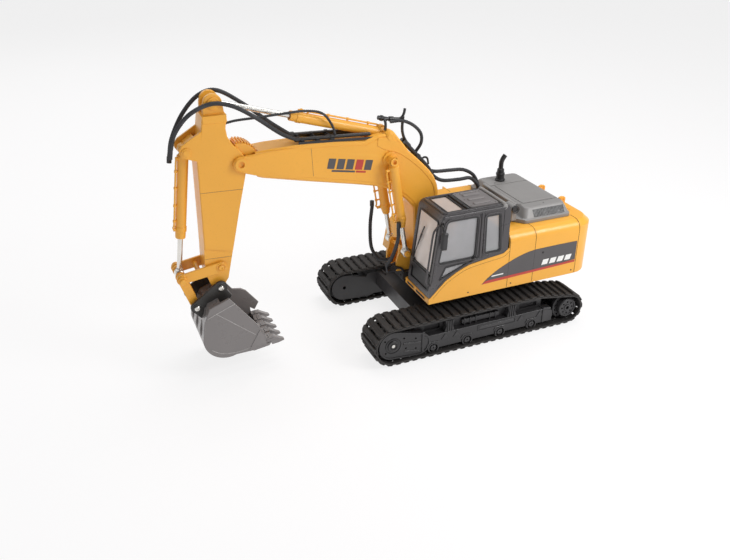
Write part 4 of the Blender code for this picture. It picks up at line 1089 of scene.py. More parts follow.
def build_bucket():
    mouth = [(-279.5, 92), (-249.1, 50.6), (-243.2, 39), (-242.4, 28)]
    body = slab(bucket_shell(0) + mouth, -33, 33, 0.5)
    open_side = [(-276, 94), (-245, 80), (-225, 40), (-225, 28)]
    hollow = prism(bucket_shell(2.4) + open_side, -30.4, 30.4)
    ridge = [(-306, 70), (-303, 80), (-296.5, 83.5), (-290, 81), (-288, 76)]
    edge = [(-258, 22), (-240, 24.6), (-237.4, 28), (-257, 25.8)]
    blade = [(-264, 68), (-252, 66), (-246.5, 62.5), (-232.7, 44.5), (-238, 35.5), (-252, 46)]
    adds = [prism(ridge, -20, 20), prism(edge, -33, 33), slab(blade, 30.4, 33, 0.4)]
    spine = [(-307.6, 66), (-310.4, 52), (-308.2, 38), (-299.5, 26), (-288, 20.9)]
    spine += [(-275, 20.7), (-262, 21.6)]
    adds += [bent([(x, y, z) for x, z in spine], 5, 0.9, 8) for y in (-20, 0, 20)]
    welds = []
    for sign in (-1, 1):
        y = sign * 33
        welds.append(rod((-273.5, y, 85), (-303.5, y, 73), 0.4, 8))
        welds.append(rod((-295, y, 77.5), (-255, y, 42.5), 0.3, 8))
        low = [(-303, y, 34), (-294, y, 28), (-284, y, 25.6), (-270, y, 25.6), (-250, y, 29.4)]
        welds.append(bent(low, 5, 0.3, 8))
        patch = [(-262, 25.4), (-243.4, 28.4), (-243.6, 38.6), (-249.6, 46.8)]
        adds.append(slab(patch, sign * 33.2 - 0.4, sign * 33.2 + 0.4, 0.3))
    finished("bucket_body", "bucket", "bucket", body, adds, [hollow], 0.3, ["bucket"])
    # The raised weld beads are real ribs; their pale grey colour is a painted highlight along them.
    plain_piece("bucket_welds", "bucket", "weld", *welds)
    build_bucket_ears()
    build_teeth()


def build_bucket_ears():
    ear = [(-306.5, 66.5), (-300, 70.5), (-283, 77.5), (-273, 88)]
    ear += arc(BUCKET_PIN, 7.2, -30, 120, 10) + arc(LINK_PIN, 6.4, 120, 240, 10)
    base, *plates = [slab(ear, y - 1.6, y + 1.6, 0.4) for y in (-18.2, 18.2)]
    cross = [(-304.5, 72), (-300.5, 81), (-296, 84), (-290, 82), (-287.5, 76.5)]
    plates.append(prism(cross, -17, 17))
    for sign in (-1, 1):
        plates.append(boss(LINK_PIN, sign * 19.2, sign * 21.4, 4.6, 1.3, 0.8))
        plates.append(boss(BUCKET_PIN, sign * 19.2, sign * 21, 5, 1.4, 0.8))
    finished("bucket_ears", "bucket", "ear", base, plates, [], 0.25)
    head = [(0, 2.9), (1.2, 2.9), (1.8, 2.3), (1.9, 1.1), (1.2, 0.9)]
    heads = [turned((x, sign * 20.4, z), (x, sign * 30, z), head, 24)
             for x, z in (BUCKET_PIN, LINK_PIN) for sign in (-1, 1)]
    plain_piece("bucket_screws", "bucket", "screw", *heads)


def build_teeth():
    strip = slab([(-243, 27.8), (-236, 29), (-235, 32.8), (-242.5, 32)], -32.4, 32.4, 0.4)
    adds, cuts = [], []
    for i in range(5):
        y = -28.4 + i * 14.2
        side = [(-243.5, 27.6), (-237.2, 26.8), (-236.4, 24.4), (-229, 24.6), (-222.3, 25.9),
                (-222, 27.2)]
        side += [(-229.5, 31.2), (-234, 34), (-243.5, 33.4)]
        base = loft([[(a, at, b) for a, b in side] for at in (y - 3.7, y + 3.7)])
        for vert in base.verts:
            reach = max(0, (vert.co.x + 236) / 14)
            vert.co.y = y + (vert.co.y - y) * (1 - 0.38 * reach)
        adds.append(base)
        for dy in (-1.7, 1.7):
            cuts.append(rod((-239.6, y + dy, 20), (-240.6, y + dy, 40), 0.75, 12))
    finished("bucket_tips", "bucket", "bucket", strip, adds, cuts, 0.25, ["bucket_teeth"])


# ---- hoses ----


def ribbed(pitch, depth):
    return lambda distance, angle: depth * math.cos(2 * math.pi * distance / pitch + 2 * angle)


def even_line(points, spacing):
    """The smooth line through the points, in equal steps."""
    fine = [Vector(p) for p in smooth_line(points, 24)]
    steps = [0]
    for a, b in zip(fine, fine[1:]):
        steps.append(steps[-1] + (b - a).length)
    count = max(4, round(steps[-1] / spacing))
    done, at = [], 0
    for i in range(count + 1):
        want = steps[-1] * i / count
        while at < len(steps) - 2 and steps[at + 1] < want:
            at += 1
        share = (want - steps[at]) / max(steps[at + 1] - steps[at], 1e-9)
        done.append(fine[at].lerp(fine[at + 1], share))
    return done


HOSES = {
    "hose_arm_left": ("boom", 2.1, [
        (-192.5, -9.2, 245.6), (-208, -9.8, 254), (-235, -12.4, 275), (-256, -12.8, 287.5),
        (-275, -13, 291), (-296, -12.6, 283), (-311, -10.5, 266), (-317, -8.5, 247.5)]),
    "hose_arm_right": ("boom", 2.1, [
        (-192.5, 9.2, 245.6), (-212, 10.5, 260), (-240, 12.6, 283), (-263, 13, 297),
        (-281, 13, 294), (-298, 12.4, 278), (-311, 10.5, 256), (-316, 8.5, 238.5)]),
    "hose_arm_thin": ("boom", 1.25, [
        (-149, -9.2, 245.6), (-153, -9.4, 257), (-163, -9, 269), (-181, -8.4, 273),
        (-205, -7.4, 272.4), (-232, -6.4, 271.2), (-250, -7, 271), (-262.2, -7.4, 269.6)]),
    "hose_boom_left": ("boom", 2.1, [
        (-64, -4.5, 222.4), (-50, -4.5, 207.4), (-36, -2, 192), (-26, 2, 178.5), (-12, 5, 169.8),
        (10, 6, 167.4), (25, 7.5, 166.6), (35, 11, 159.5), (44, 15.5, 149.5), (50, 18, 142.5)]),
    "hose_boom_right": ("boom", 2.1, [
        (-64, 4.5, 222.4), (-50, 4.5, 207.4), (-36, 10, 193), (-26, 18, 181.5), (-12, 24, 174.4),
        (8, 25.5, 172.4), (26, 25.5, 170.6), (40, 26, 163), (48, 27, 152), (51, 28, 142.5)]),
    "hose_loop": ("boom", 1.8, [
        (-84, -3.5, 249.5), (-70, -3.5, 249), (-57, -3.8, 243), (-47.5, -4, 233),
        (-46.5, -4.2, 222), (-51, 0, 210.5)]),
    "hose_cyl_left": ("house", 2.1, [
        (-84, -29, 139), (-84, -29, 122), (-88, -24, 100), (-90, -14, 84), (-84, -9, 80.5),
        (-79.5, -8, 80.2)]),
    "hose_cyl_right": ("house", 2.1, [
        (-90, 29, 143), (-93, 28, 118), (-95, 20, 94), (-90, 12, 82), (-84, 8, 80.5),
        (-79.5, 6, 80.2)]),
}
CROSSINGS = {
    "hose_arm_left": ("boom", "arm", (-225, 0, 268), (-290, 0, 288)),
    "hose_arm_right": ("boom", "arm", (-225, 0, 270), (-290, 0, 290)),
    "hose_arm_thin": ("boom", "arm", (-185, 0, 273), (-245, 0, 271)),
    "hose_boom_left": ("boom", "house", (-30, 0, 192), (50, 0, 150)),
    "hose_boom_right": ("boom", "house", (-30, 0, 192), (50, 0, 150)),
}


def build_hoses():
    for name, (body, radius, route) in HOSES.items():
        line = even_line(route, 0.62)
        solid = tube(line, radius, 12, ribbed(2.1, 0.16))
        if name in CROSSINGS:
            obj = raw(f"{name}_braid", solid)
            obj.data.materials.append(LOOKS["hose"])
            obj.data.shade_smooth()
            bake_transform(obj)
            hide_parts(name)
        else:
            obj = finished(f"{name}_braid", body, "hose", solid, edge=0, replaces=[name], smooth=60)


# ---- house and cab ----

CAB_NEAR = -79.7
CAB_FAR = -27
CAB_REAR = 28
CAB_ROOF = 166.7
HOUSE_TOP = 129
HOUSE_FRONT = -69.7
SHELL_REAR = 125
HOOD_TOP = 144.5
HOOD_HOLES = ((94.1, -46.5), (94.1, 44), (76, 30))


def ring_strip(outline, outwards, inwards, low, high, axis="Y"):
    """A flat frame round an opening, from outside its outline to inside it."""
    outer = inset(outline, -outwards)
    inner = inset(outline, inwards)
    mesh = bmesh.new()
    rows = []
    for ring, at in ((outer, low), (outer, high), (inner, high), (inner, low)):
        rows.append([mesh.verts.new(place(axis, a, b, at)) for a, b in ring])
    for k in range(4):
        near, far = rows[k], rows[(k + 1) % 4]
        for i in range(len(near)):
            j = (i + 1) % len(near)
            mesh.faces.new((near[i], near[j], far[j], far[i]))
    bmesh.ops.recalc_face_normals(mesh, faces=mesh.faces)
    return mesh


def seam(points, radius=0.22):
    """A fine parting line laid along a surface."""
    return tube(points, radius, 6)


def swoop(lift=0):
    knots = [(-68.4, 69), (-60, 77.2), (-50, 87), (-36, 95.6), (-20.8, 101.6)]
    knots += [(5, 105.2), (23, 107.4), (CAB_REAR + 2.3, 113)]
    return [(x, z + lift) for x, z in smooth_line(knots, 4)]


def cab_outline(depth, bottom):
    roof = CAB_ROOF - depth
    rear = CAB_REAR - depth
    front = [(-69, 76), (-67.5, 88), (-60.5, 146), (-58.4, roof - 6), (-56.6, roof - 2),
             (-52.5, roof)]
    back = [(rear - 8, roof), (rear - 3.5, roof - 1.6), (rear - 0.8, roof - 5), (rear, roof - 11)]
    return [(x + depth, z) for x, z in front] + back + bottom


DOOR = rounded([(-60.2, 109.6), (-51.2, 158.6), (-12.8, 158.6), (-13.8, 109.6)], 5.5, 6)
SMALL = rounded([(-2, 112), (-3.2, 157), (14.5, 157), (18, 112)], 3, 5)
LOW_LIGHT = rounded([(-57.5, 90), (-50.5, 104.5), (-17, 106.5), (-35, 99)], 1.2, 3)
FAR_LIGHT = rounded([(-56, 100), (-47.5, 158), (-8, 158), (-8, 100)], 4, 5)
PANE_Y = (CAB_NEAR + 5.2, CAB_FAR - 5.5)
SCREEN = round_box((PANE_Y[0], 97), (PANE_Y[1], 158), 3.5, 5)
FOOT_PANE = round_box((PANE_Y[0], 76), (PANE_Y[1], 91), 2.5, 4)
REAR_PANE = round_box((PANE_Y[0], 118), (PANE_Y[1], 154), 3.5, 5)
SKYLIGHT = round_box((-49, PANE_Y[0]), (-28, PANE_Y[1]), 2.5, 4)
SCREEN_LEAN = 7 / 58


def lean_back(solid):
    """Leans a piece made upright at x = 0 onto the windscreen's plane."""
    for vert in solid.verts:
        vert.co.x += -67.5 + (vert.co.z - 88) * SCREEN_LEAN
    return solid


def build_cab():
    low = [(CAB_REAR, 111.6)] + [p for p in swoop(0.3)[::-1] if -68 < p[0] < 24] + [(-69.2, 69.3)]
    body = prism(cab_outline(0, low), CAB_NEAR, CAB_FAR)
    deep = [(CAB_REAR - 2.3, 60), (-66.9, 60)]
    hollow = prism(cab_outline(2.3, deep), CAB_NEAR + 2.3, CAB_FAR - 2.3)
    near = (CAB_NEAR - 3, CAB_NEAR + 5)
    cuts = [hollow, prism(DOOR, *near), prism(SMALL, *near), prism(LOW_LIGHT, *near)]
    cuts.append(prism(FAR_LIGHT, CAB_FAR - 5, CAB_FAR + 3))
    cuts += [prism(SCREEN, -80, -50, "X"), prism(FOOT_PANE, -80, -60, "X"),
             prism(REAR_PANE, 20, 40, "X")]
    cuts.append(prism(SKYLIGHT, CAB_ROOF - 8, CAB_ROOF + 3, "Z"))
    finished("cab_shell", "house", "charcoal", body, [], cuts, 0.9, ["cab_frame"])
    build_cab_gaskets()
    build_cab_trim()
    build_cab_roof()
    build_cab_fittings()


def build_cab_gaskets():
    rings = []
    for outline in (DOOR, SMALL, LOW_LIGHT):
        rings.append(ring_strip(outline, 0.9, 1.1, CAB_NEAR - 0.35, CAB_NEAR + 1.9))
    rings.append(ring_strip(FAR_LIGHT, 0.9, 1.1, CAB_FAR - 1.9, CAB_FAR + 0.35))
    rings.append(ring_strip(SKYLIGHT, 0.8, 1, CAB_ROOF - 1.5, CAB_ROOF + 0.35, "Z"))
    rings.append(ring_strip(REAR_PANE, 0.8, 1, CAB_REAR - 1.8, CAB_REAR + 0.35, "X"))
    for outline in (SCREEN, FOOT_PANE):
        rings.append(lean_back(ring_strip(outline, 0.9, 1.1, -0.55, 1.8, "X")))
    finished("cab_gaskets", "house", "black", joined(*rings), edge=0.2)
    panes = [prism(inset(shape, -0.9), CAB_NEAR + 1, CAB_NEAR + 1.6)
             for shape in (DOOR, SMALL, LOW_LIGHT)]
    panes.append(prism(inset(FAR_LIGHT, -0.9), CAB_FAR - 1.6, CAB_FAR - 1))
    panes.append(prism(inset(REAR_PANE, -0.9), CAB_REAR - 1.6, CAB_REAR - 1, "X"))
    panes.append(prism(inset(SKYLIGHT, -0.9), CAB_ROOF - 1.7, CAB_ROOF - 1.2, "Z"))
    panes.append(lean_back(prism(inset(SCREEN, -0.9), 1.1, 1.7, "X")))
    plain_piece("cab_panes", "house", "glass", *panes, replaces=["cab_glazing"])
    finished("cab_screen_film", "house", "film", lean_back(prism(SCREEN, 0.5, 0.8, "X")), edge=0)
    skylight = prism(SKYLIGHT, CAB_ROOF - 1, CAB_ROOF - 0.7, "Z")
    finished("cab_skylight_film", "house", "tint", skylight, edge=0)
    kick = lean_back(prism(inset(FOOT_PANE, -0.9), 0.9, 1.8, "X"))
    finished("cab_kick_panel", "house", "black", kick, edge=0)


def build_cab_trim():
    """The door's raised frame, its parting lines, the sill and the pillar covers."""
    y = CAB_NEAR
    door = ring_strip(DOOR, 2.6, -0.9, y - 0.75, y + 0.6)
    side = ring_strip(SMALL, 2.6, -0.9, y - 0.65, y + 0.6)
    post = slab(rounded(rectangle((-9.4, 108), (-6.6, 161.6)), 1), y - 1.1, y + 0.5, 0.4)
    front = slab([(-67.2, 88), (-60.3, 146), (-57.6, 161), (-54.2, 161), (-57, 146), (-63.6, 90)],
                 y - 0.9, y + 0.5, 0.35)
    rail = slab(rounded(rectangle((-56, 161.4), (20, 164.8)), 1.5), y - 1.3, y + 0.5, 0.5)
    finished("cab_trim", "house", "charcoal", joined(door, side, post, front, rail), edge=0.25)
    lines = [seam([(x, y - 0.1, z) for x, z in ((-10.8, 106), (-10.8, 162), (-55, 162))])]
    lines.append(seam([(-5.2, y - 0.1, 107), (-5.4, y - 0.1, 162)]))
    lines.append(seam([(x, y - 0.1, z + 3) for x, z in swoop()[4:18]]))
    lines.append(seam([(19.6, y - 0.1, 112), (19.6, y - 0.1, 160)]))
    plain_piece("cab_seams", "house", "gap", *lines)


def build_cab_roof():
    z = CAB_ROOF
    rim = ring_strip(round_box((-54.5, CAB_NEAR + 1.2), (22.5, CAB_FAR - 1.2), 5, 6), 0, 2.6,
                     z - 1, z + 0.9, "Z")
    lip = slab([(-26.2, z - 1), (-25.6, z + 1.9), (-22.6, z + 1.9), (-21.8, z - 1)], CAB_NEAR + 5,
               CAB_FAR - 5, 0.5)
    notches = [box((-27, y, z + 0.9), (-24.6, y + 2, z + 3)) for y in (-66, -52, -38)]
    finished("cab_roof_rim", "house", "charcoal", rim, edge=0.4)
    finished("cab_roof_lip", "house", "black", lip, [], notches, 0.25)
    plate = prism(round_box((-20.6, -74), (15, -32.5), 2.5, 4), z - 0.2, z + 1.3, "Z")
    ribs = []
    for y in (-69.4, -57.4, -45.4):
        outline = round_box((-13, y), (8, y + 5), 1.2, 3)
        ribs.append(slab(outline, z + 0.6, z + 2.3, 0.6, "Z"))
    ribs.append(slab(round_box((-13, -37.6), (8, -35.2), 0.8, 3), z + 0.6, z + 2.2, 0.5, "Z"))
    for x, y in ((-18, -71), (-18, -36), (12.4, -71), (12.4, -36), (-16, -53)):
        ribs.append(rod((x, y, z), (x, y, z + 1.9), 0.9, 12))
    # The roof panel takes the lighter charcoal look, a painted sheen for the light on the cab's top.
    finished("cab_roof_panel", "house", "roof", plate, ribs, [], 0.3, ["cab_roof_plate"])
    bar = bent([(19.4, CAB_NEAR + 0.4, z - 3.2), (19.2, CAB_NEAR + 1.6, z - 0.6),
                (19, CAB_NEAR + 5, z + 0.4), (19, CAB_FAR - 5, z + 0.4),
                (19.2, CAB_FAR - 1.6, z - 0.6)], 5, 2.3, 16)
    knob = turned((19.4, CAB_NEAR + 2.6, z - 2.4), (19.4, CAB_NEAR - 4, z - 2.4),
                  [(0, 3.2), (3, 3.2), (3.6, 2.6), (3.6, 1.5), (2.6, 1.5)], 20)
    plain_piece("cab_roof_bar", "house", "hood", bar, knob)


def build_cab_fittings():
    rail = [(-58.6, -77.6, 155.4), (-63.2, -78.6, 152.6), (-67, -79, 147), (-69.2, -79, 130),
            (-71.6, -79, 108), (-73.4, -78.8, 92), (-72.4, -78.4, 86.8), (-67.8, -77.4, 84.4)]
    finished("cab_grab_rail", "house", "charcoal", bent(rail, 6, 1.15, 12), edge=0)
    wiper = [(-67.4, -36.5, 99), (-66.6, -38, 108), (-65.2, -42, 120), (-63.6, -47, 133)]
    blade = [(-65.2, -41, 118), (-63.7, -44.8, 131), (-62.4, -50, 143)]
    parts = [bent(wiper, 5, 0.55, 8), tube(blade, 0.8, 6)]
    parts.append(rod((-68.4, -36.5, 98.6), (-65.8, -36.5, 99.4), 1.7, 16))
    bar = lean_back(slab(round_box((PANE_Y[0], 92.4), (PANE_Y[1], 95.8), 1.2, 3), -1.5, 1.4, 0.4,
                         "X"))
    parts.append(bar)
    finished("cab_wiper", "house", "black", joined(*parts), edge=0.15)
    head = slab(rounded([(-62.4, 131), (-61, 150.6), (-54, 150), (-54.8, 129.6)], 2.4, 5), -89.8,
                -84.8, 1.4)
    stalk = bent([(-57.4, -79.2, 156.4), (-58.4, -82.6, 156.2), (-59, -86, 154), (-59, -87, 148)],
                 5, 1.2, 10)
    foot = box((-59.6, -80.6, 154.4), (-55.6, -79, 158.4))
    hinge = rod((-59, -87.6, 147), (-59, -87.6, 152.4), 1.7, 14)
    finished("mirror_body", "house", "black", joined(head, stalk, foot, hinge), edge=0.25,
             replaces=["cab_mirror"])
    glass = slab(round_box((-88.4, 132.6), (-86.2, 147.6), 0.9, 4), -54.8, -54.25, 0.1, "X")
    for vert in glass.verts:
        vert.co.x += (vert.co.z - 140) * 0.039
    finished("mirror_plate", "house", "mirror", glass, edge=0)
    handle = bent([(-17.6, CAB_NEAR, 109.4), (-17.4, CAB_NEAR - 2, 109.2),
                   (-12.8, CAB_NEAR - 2, 109.2), (-12.6, CAB_NEAR, 109.4)], 4, 0.75, 8)
    finished("cab_handle", "house", "black", handle, edge=0)


def build_shells():
    """Slots, parting lines, decals and recessed side details on the near and far covers."""
    slots = [round_box((y0, 63.8), (y1, 66.9), 1.2, 4) for y0, y1 in ((-44, -27), (-71, -49))]
    strip = [slab(slot, HOUSE_FRONT - 0.1, HOUSE_FRONT + 0.3, 0.05, "X") for slot in slots]
    rims = [ring_strip(slot, 0.8, 0, HOUSE_FRONT - 0.5, HOUSE_FRONT + 0.3, "X") for slot in slots]
    plain_piece("strip_slots", "house", "gap", *strip)
    finished("strip_rims", "house", "yellow", joined(*rims), edge=0.15)
    lines = []
    for x, top in ((30.9, 129.1), (65, 129.1), (SHELL_REAR - 0.15, 129.1)):
        for side in (-1, 1):
            route = [(x, side * 80.1, 63), (x, side * 80.1, 118)]
            route += [(x, side * (69 + 11.1 * math.cos(a)), 118 + 11.1 * math.sin(a))
                      for a in (math.radians(d) for d in range(10, 91, 10))]
            route.append((x, side * 60, top))
            lines.append(seam(route, 0.2))
    lines.append(seam([(x, -80.1, z - 4.2) for x, z in swoop()[2:]], 0.12))
    plain_piece("house_seams", "house", "gap", *lines)
    build_house_decals()
    build_side_details()


def decal_curve():
    knots = [(-2.8, 73.4), (4, 79.6), (14, 86.4), (26, 92.6), (40, 98.4), (54, 102.4), (66, 104.2)]
    return smooth_line(knots, 4)


def build_house_decals():
    """A dark swept panel with a red stripe under it and plain pale bars."""
    dark = decal_curve() + [(96, 104.6), (123.4, 104.4), (123.4, 80.6)]
    red = [(-2.8, 73.2), (123.4, 77.4), (123.4, 80), (2.2, 76.8)]
    for name, side in SIDES:
        y = side * 80.12
        near, far = sorted((y - side * 0.3, y + side * 0.12))
        finished(f"house_panel_{name}", "house", "decal_dark", prism(dark, near, far), edge=0)
        near, far = sorted((y - side * 0.3, y + side * 0.2))
        finished(f"house_stripe_{name}", "house", "decal_red", prism(red, near, far), edge=0)
        bars = []
        for x in (76 + i * 10.6 for i in range(4)):
            bars.append(prism([(x, 82.2), (x + 8, 82.4), (x + 10, 89), (x + 2, 88.8)], near, far))
        bars.append(prism([(9, 80.6), (24.6, 81), (24.8, 82.4), (9.6, 82)], near, far))
        plain_piece(f"house_bars_{name}", "house", "decal_white", *bars)


def grille(x0, x1, z0, z1, side, slots):
    """A recessed dark vent with sloping bars across it on a side wall."""
    y = side * 80
    frame_low, frame_high = sorted((y - side * 0.6, y + side * 0.5))
    rim = ring_strip(round_box((x0, z0), (x1, z1), 1.4, 4), 1.2, 0, frame_low, frame_high)
    bars = []
    for i in range(slots):
        z = z0 + (i + 0.5) * (z1 - z0) / slots
        low, high = sorted((y - side * 0.6, y + side * 0.35))
        bars.append(prism([(x0 - 0.5, z - 0.5), (x1 + 0.5, z - 0.5), (x1 + 0.5, z + 0.7),
                           (x0 - 0.5, z + 0.7)], low, high))
    back_low, back_high = sorted((y - side * 0.2, y + side * 0.06))
    return joined(rim, *bars), prism(round_box((x0, z0), (x1, z1), 1.4, 4), back_low, back_high)


def build_side_details():
    """Vents, bolts, a lock and a handrail on the covers."""
    rims, backs = [], []
    for x0, x1, z0, z1 in ((74, 116, 108, 114.5), (34, 60, 108, 114.5)):
        rim, back = grille(x0, x1, z0, z1, 1, 4)
        rims.append(rim)
        backs.append(back)
    finished("vent_bars", "house", "yellow", joined(*rims), edge=0.15)
    plain_piece("vent_backs", "house", "gap", *backs)
    dots = [rod((76.6, side * 79.8, 98.4), (76.6, side * 80.7, 98.4), 1.2, 16) for side in (-1, 1)]
    dots += [rod((x, side * 79.8, z), (x, side * 80.45, z), 0.8, 12)
             for side in (-1, 1) for x, z in ((36, 67), (120, 67), (-20, 67))]
    plain_piece("house_locks", "house", "black", *dots)
    rail = [(-38, 74, 102), (-38, 74, 116), (-34, 74, 119), (-4, 74, 123), (2, 74, 122),
            (3, 74, 117)]
    post = rod((-20, 74, 103), (-20, 74, 120.6), 1, 10)
    plain_piece("handrail", "house", "black", bent(rail, 5, 1.1, 10), post)
    tread = [slab(round_box((-34, 30), (-12, 68), 2, 3), 103.2, 104.9, 0.4, "Z")]
    tread += [rod((x, y, 104.4), (x, y, 105.5), 1, 8) for x in (-30, -24, -18)
              for y in range(35, 66, 6)]
    for vert in tread[0].verts:
        vert.co.z += (vert.co.x + 24) / 32 * 2
    plain_piece("step_plate", "house", "under", *tread)
    caps = [turned((-22, 26, 102), (-22, 26, 112), [(0, 3.2), (4.2, 3.2), (5, 2.6)], 20)]
    caps.append(turned((18, 44, 128), (18, 44, 140),
                       [(0, 5), (3, 5), (3.6, 4.4), (3.6, 3), (4.6, 2.6)], 24))
    finished("filler_caps", "house", "black", joined(*caps), edge=0.2)


def build_hood():
    base = HOUSE_TOP + 0.3
    levels = ((0, base), (0, base + 3.4), (0.9, base + 4.3), (1.9, base + 4.7), (2.3, base + 5.2),
              (8.6, HOOD_TOP - 1.3), (10.2, HOOD_TOP - 0.3), (11.6, HOOD_TOP))

    def level(depth, z):
        plan = rectangle((59 + depth * 0.7, -62 + depth), (124 - depth * 0.5, 62 - depth))
        return [(a, b, z) for a, b in rounded(plan, 6, 6)]

    body = loft([level(depth, z) for depth, z in levels])
    under = loft([level(2.5, base - 2), level(12, HOOD_TOP - 2.5)])
    panel = slab(round_box((70, -38.4), (113.5, 21.6), 2.5, 4), HOOD_TOP - 1, HOOD_TOP + 0.75, 0.4,
                 "Z")
    ledge = slab(round_box((61.5, -36), (66.5, 36), 1.6, 3), HOOD_TOP - 6.5, HOOD_TOP - 0.4, 0.8,
                 "Z")
    grooves = [box((66, y - 0.7, HOOD_TOP - 1), (119, y + 0.7, HOOD_TOP + 3)) for y in (-40, 23.2)]
    holes = [rod((x, y, HOOD_TOP - 1.2), (x, y, HOOD_TOP + 3), 1.1, 16) for x, y in HOOD_HOLES]
    slots = [box((118.6, y - 3.4, base + 6.4), (126, y + 3.4, base + 8.2))
             for y in range(-30, 31, 10)]
    chin = prism([(46, -44), (60.5, -61.2), (64, -44)], base, base + 4.2, "Z")
    finished("hood_cover", "house", "hood", body, [panel, ledge, chin],
             [under, *grooves, *holes, *slots], 0.35, ["engine_hood"])
    build_hood_bands()
    dark = [box((119, -34, base + 5.6), (119.6, 34, base + 9))]
    dark += [rod((x, y, HOOD_TOP - 1.3), (x, y, HOOD_TOP - 1), 1.1, 16) for x, y in HOOD_HOLES]
    plain_piece("hood_dark", "house", "gap", *dark)
    build_exhaust()


def build_hood_bands():
    """A dark strip of upright slats along each sloping side of the hood."""
    y_low, y_high = 62 - 2.3, 62 - 7.6
    z_low, z_high = HOUSE_TOP + 5.6, HOOD_TOP - 2.8
    for side, name in ((-1, "left"), (1, "right")):
        parts = [prism([(side * (y_low + 0.15), z_low), (side * (y_high + 0.15), z_high),
                        (side * (y_high - 2), z_high), (side * (y_low - 2), z_low)], 74, 116, "X")]
        for i in range(22):
            x = 75 + i * 1.9
            slat = [(side * (y_low + 0.6), z_low), (side * (y_high + 0.6), z_high),
                    (side * (y_high - 1), z_high), (side * (y_low - 1), z_low)]
            parts.append(prism(slat, x, x + 0.9, "X"))
        plain_piece(f"hood_band_{name}", "house", "black", *parts)


def build_exhaust():
    at = (87, 36)
    profile = [(0, 6.4), (1.6, 6.4), (2.2, 5.2), (6.5, 4.9), (7.2, 5.5), (9.4, 5.5), (10.2, 4.6),
               (14.4, 4.3), (15.4, 3.2)]
    flange = turned((*at, HOOD_TOP + 0.3), (*at, 190), profile, 28)
    path = [(87, 36, 158), (87, 36, 164), (87.2, 36, 168), (88.4, 36, 171.6), (90.4, 36, 174.6),
            (92, 36, 176.6)]
    pipe = bent(path, 5, 2.9, 20)
    bore = rod((90.9, 36, 175.2), (94.4, 36, 179.7), 2.2, 20)
    finished("exhaust_pipe", "house", "black", flange, [pipe], [bore], 0.15, ["exhaust_stack"])
    drum = turned((50, -38.5, 146.5), (50, -62.5, 146.5),
                  [(0, 3.4), (1, 4.4), (16.6, 4.4), (18, 4), (18, 3.1), (15, 2.9)], 28)
    foot = box((47, -54, HOUSE_TOP + 3.3), (53, -43, 144))
    finished("cleaner_drum", "house", "hood", foot, [drum], [], 0.3, ["air_cleaner"])
    mouth = [rod((50, -53.1, 146.5), (50, -55.9, 146.5), 3, 28),
             ring_strip(circle((50, 146.5), 4.1, 28), 0.5, 0.8, -56.9, -54.5)]
    plain_piece("cleaner_mouth", "house", "black", *mouth)


def build_tail():
    """Lugs, a recess, bolts and lamps on the counterweight."""
    seat = ring_strip(round_box((132, -7), (141, 13), 1.5, 4), 0.9, 0, HOUSE_TOP - 0.6,
                      HOUSE_TOP + 0.5, "Z")
    eyes = [ring_strip(circle((140.5, 132.2), 1.6, 20), 1.4, 0, y - 2.1, y + 2.1)
            for y in (-21, 21)]
    bolts = [turned((x, y, HOUSE_TOP - 0.4), (x, y, HOUSE_TOP + 4),
                    [(0, 2.2), (0.9, 2.2), (1.1, 1.9), (1.1, 1.1), (0.5, 1.1)], 20)
             for x, y in ((135, -44), (135, 44))]
    plate = slab(round_box((-34, 74), (34, 104), 4, 5), 149.4, 150.3, 0.25, "X")
    finished("tail_trim", "house", "yellow", joined(seat, *eyes, *bolts, plate), edge=0.2)
    dark = [seam([(150.05, y, 66), (150.05, y, 122)], 0.2) for y in (-44, 44)]
    for y0 in (-40, 28):
        dark.append(slab(round_box((y0, 108.5), (y0 + 12, 114), 1.5, 4), 149.5, 150.2, 0.15, "X"))
    plain_piece("tail_dark", "house", "gap", *dark)
    lens = [slab(round_box((y0 + 0.9, 109.4), (y0 + 11.1, 113.1), 1, 4), 149.7, 150.45, 0.2, "X")
            for y0 in (-40, 28)]
    plain_piece("tail_lamps", "house", "decal_red", *lens)


def build_deck():
    """Short hoses, a fitting block and the boom foot's bolts at the front of the deck."""
    parts = []
    for i in range(4):
        y = -17.5 + i * 3.2
        route = [(-93 + i * 1.2, y - 3, 79.6 - i * 0.2), (-86, y - 2, 78.6), (-78, y, 80),
                 (-72, y + 0.6, 77), (-70, y + 1, 71)]
        parts.append(tube(even_line(route, 0.8), 1.35, 10, ribbed(2, 0.12)))
    plain_piece("deck_hoses", "house", "hose", *parts, smooth=60)
    block = [slab(round_box((-20, 64), (20, 73), 1.5, 3), -72.6, -71.2, 0.4, "X")]
    block += [rod((-72, y, 68.5), (-73.6, y, 68.5), 1.6, 6) for y in (-15, 15)]
    block += [rod((-78.4, y, 80.2), (-74, y, 80.2), 2.8, 6) for y in (-8, 6)]
    finished("deck_block", "house", "black", joined(*block), edge=0.2)
    caps = []
    for side in (-1, 1):
        caps.append(boss(BOOM_FOOT, side * 14.6, side * 17, 5, 1.5, 0.9))
        caps.append(boss(LIFT_BASE, side * 25, side * 28, 3.6, 1.1, 0.9))
        caps.append(boss(LIFT_BASE, side * 14.8, side * 16.6, 4.4, 1.1, 0.4))
    plain_piece("bracket_caps", "house", "yellow", *caps)


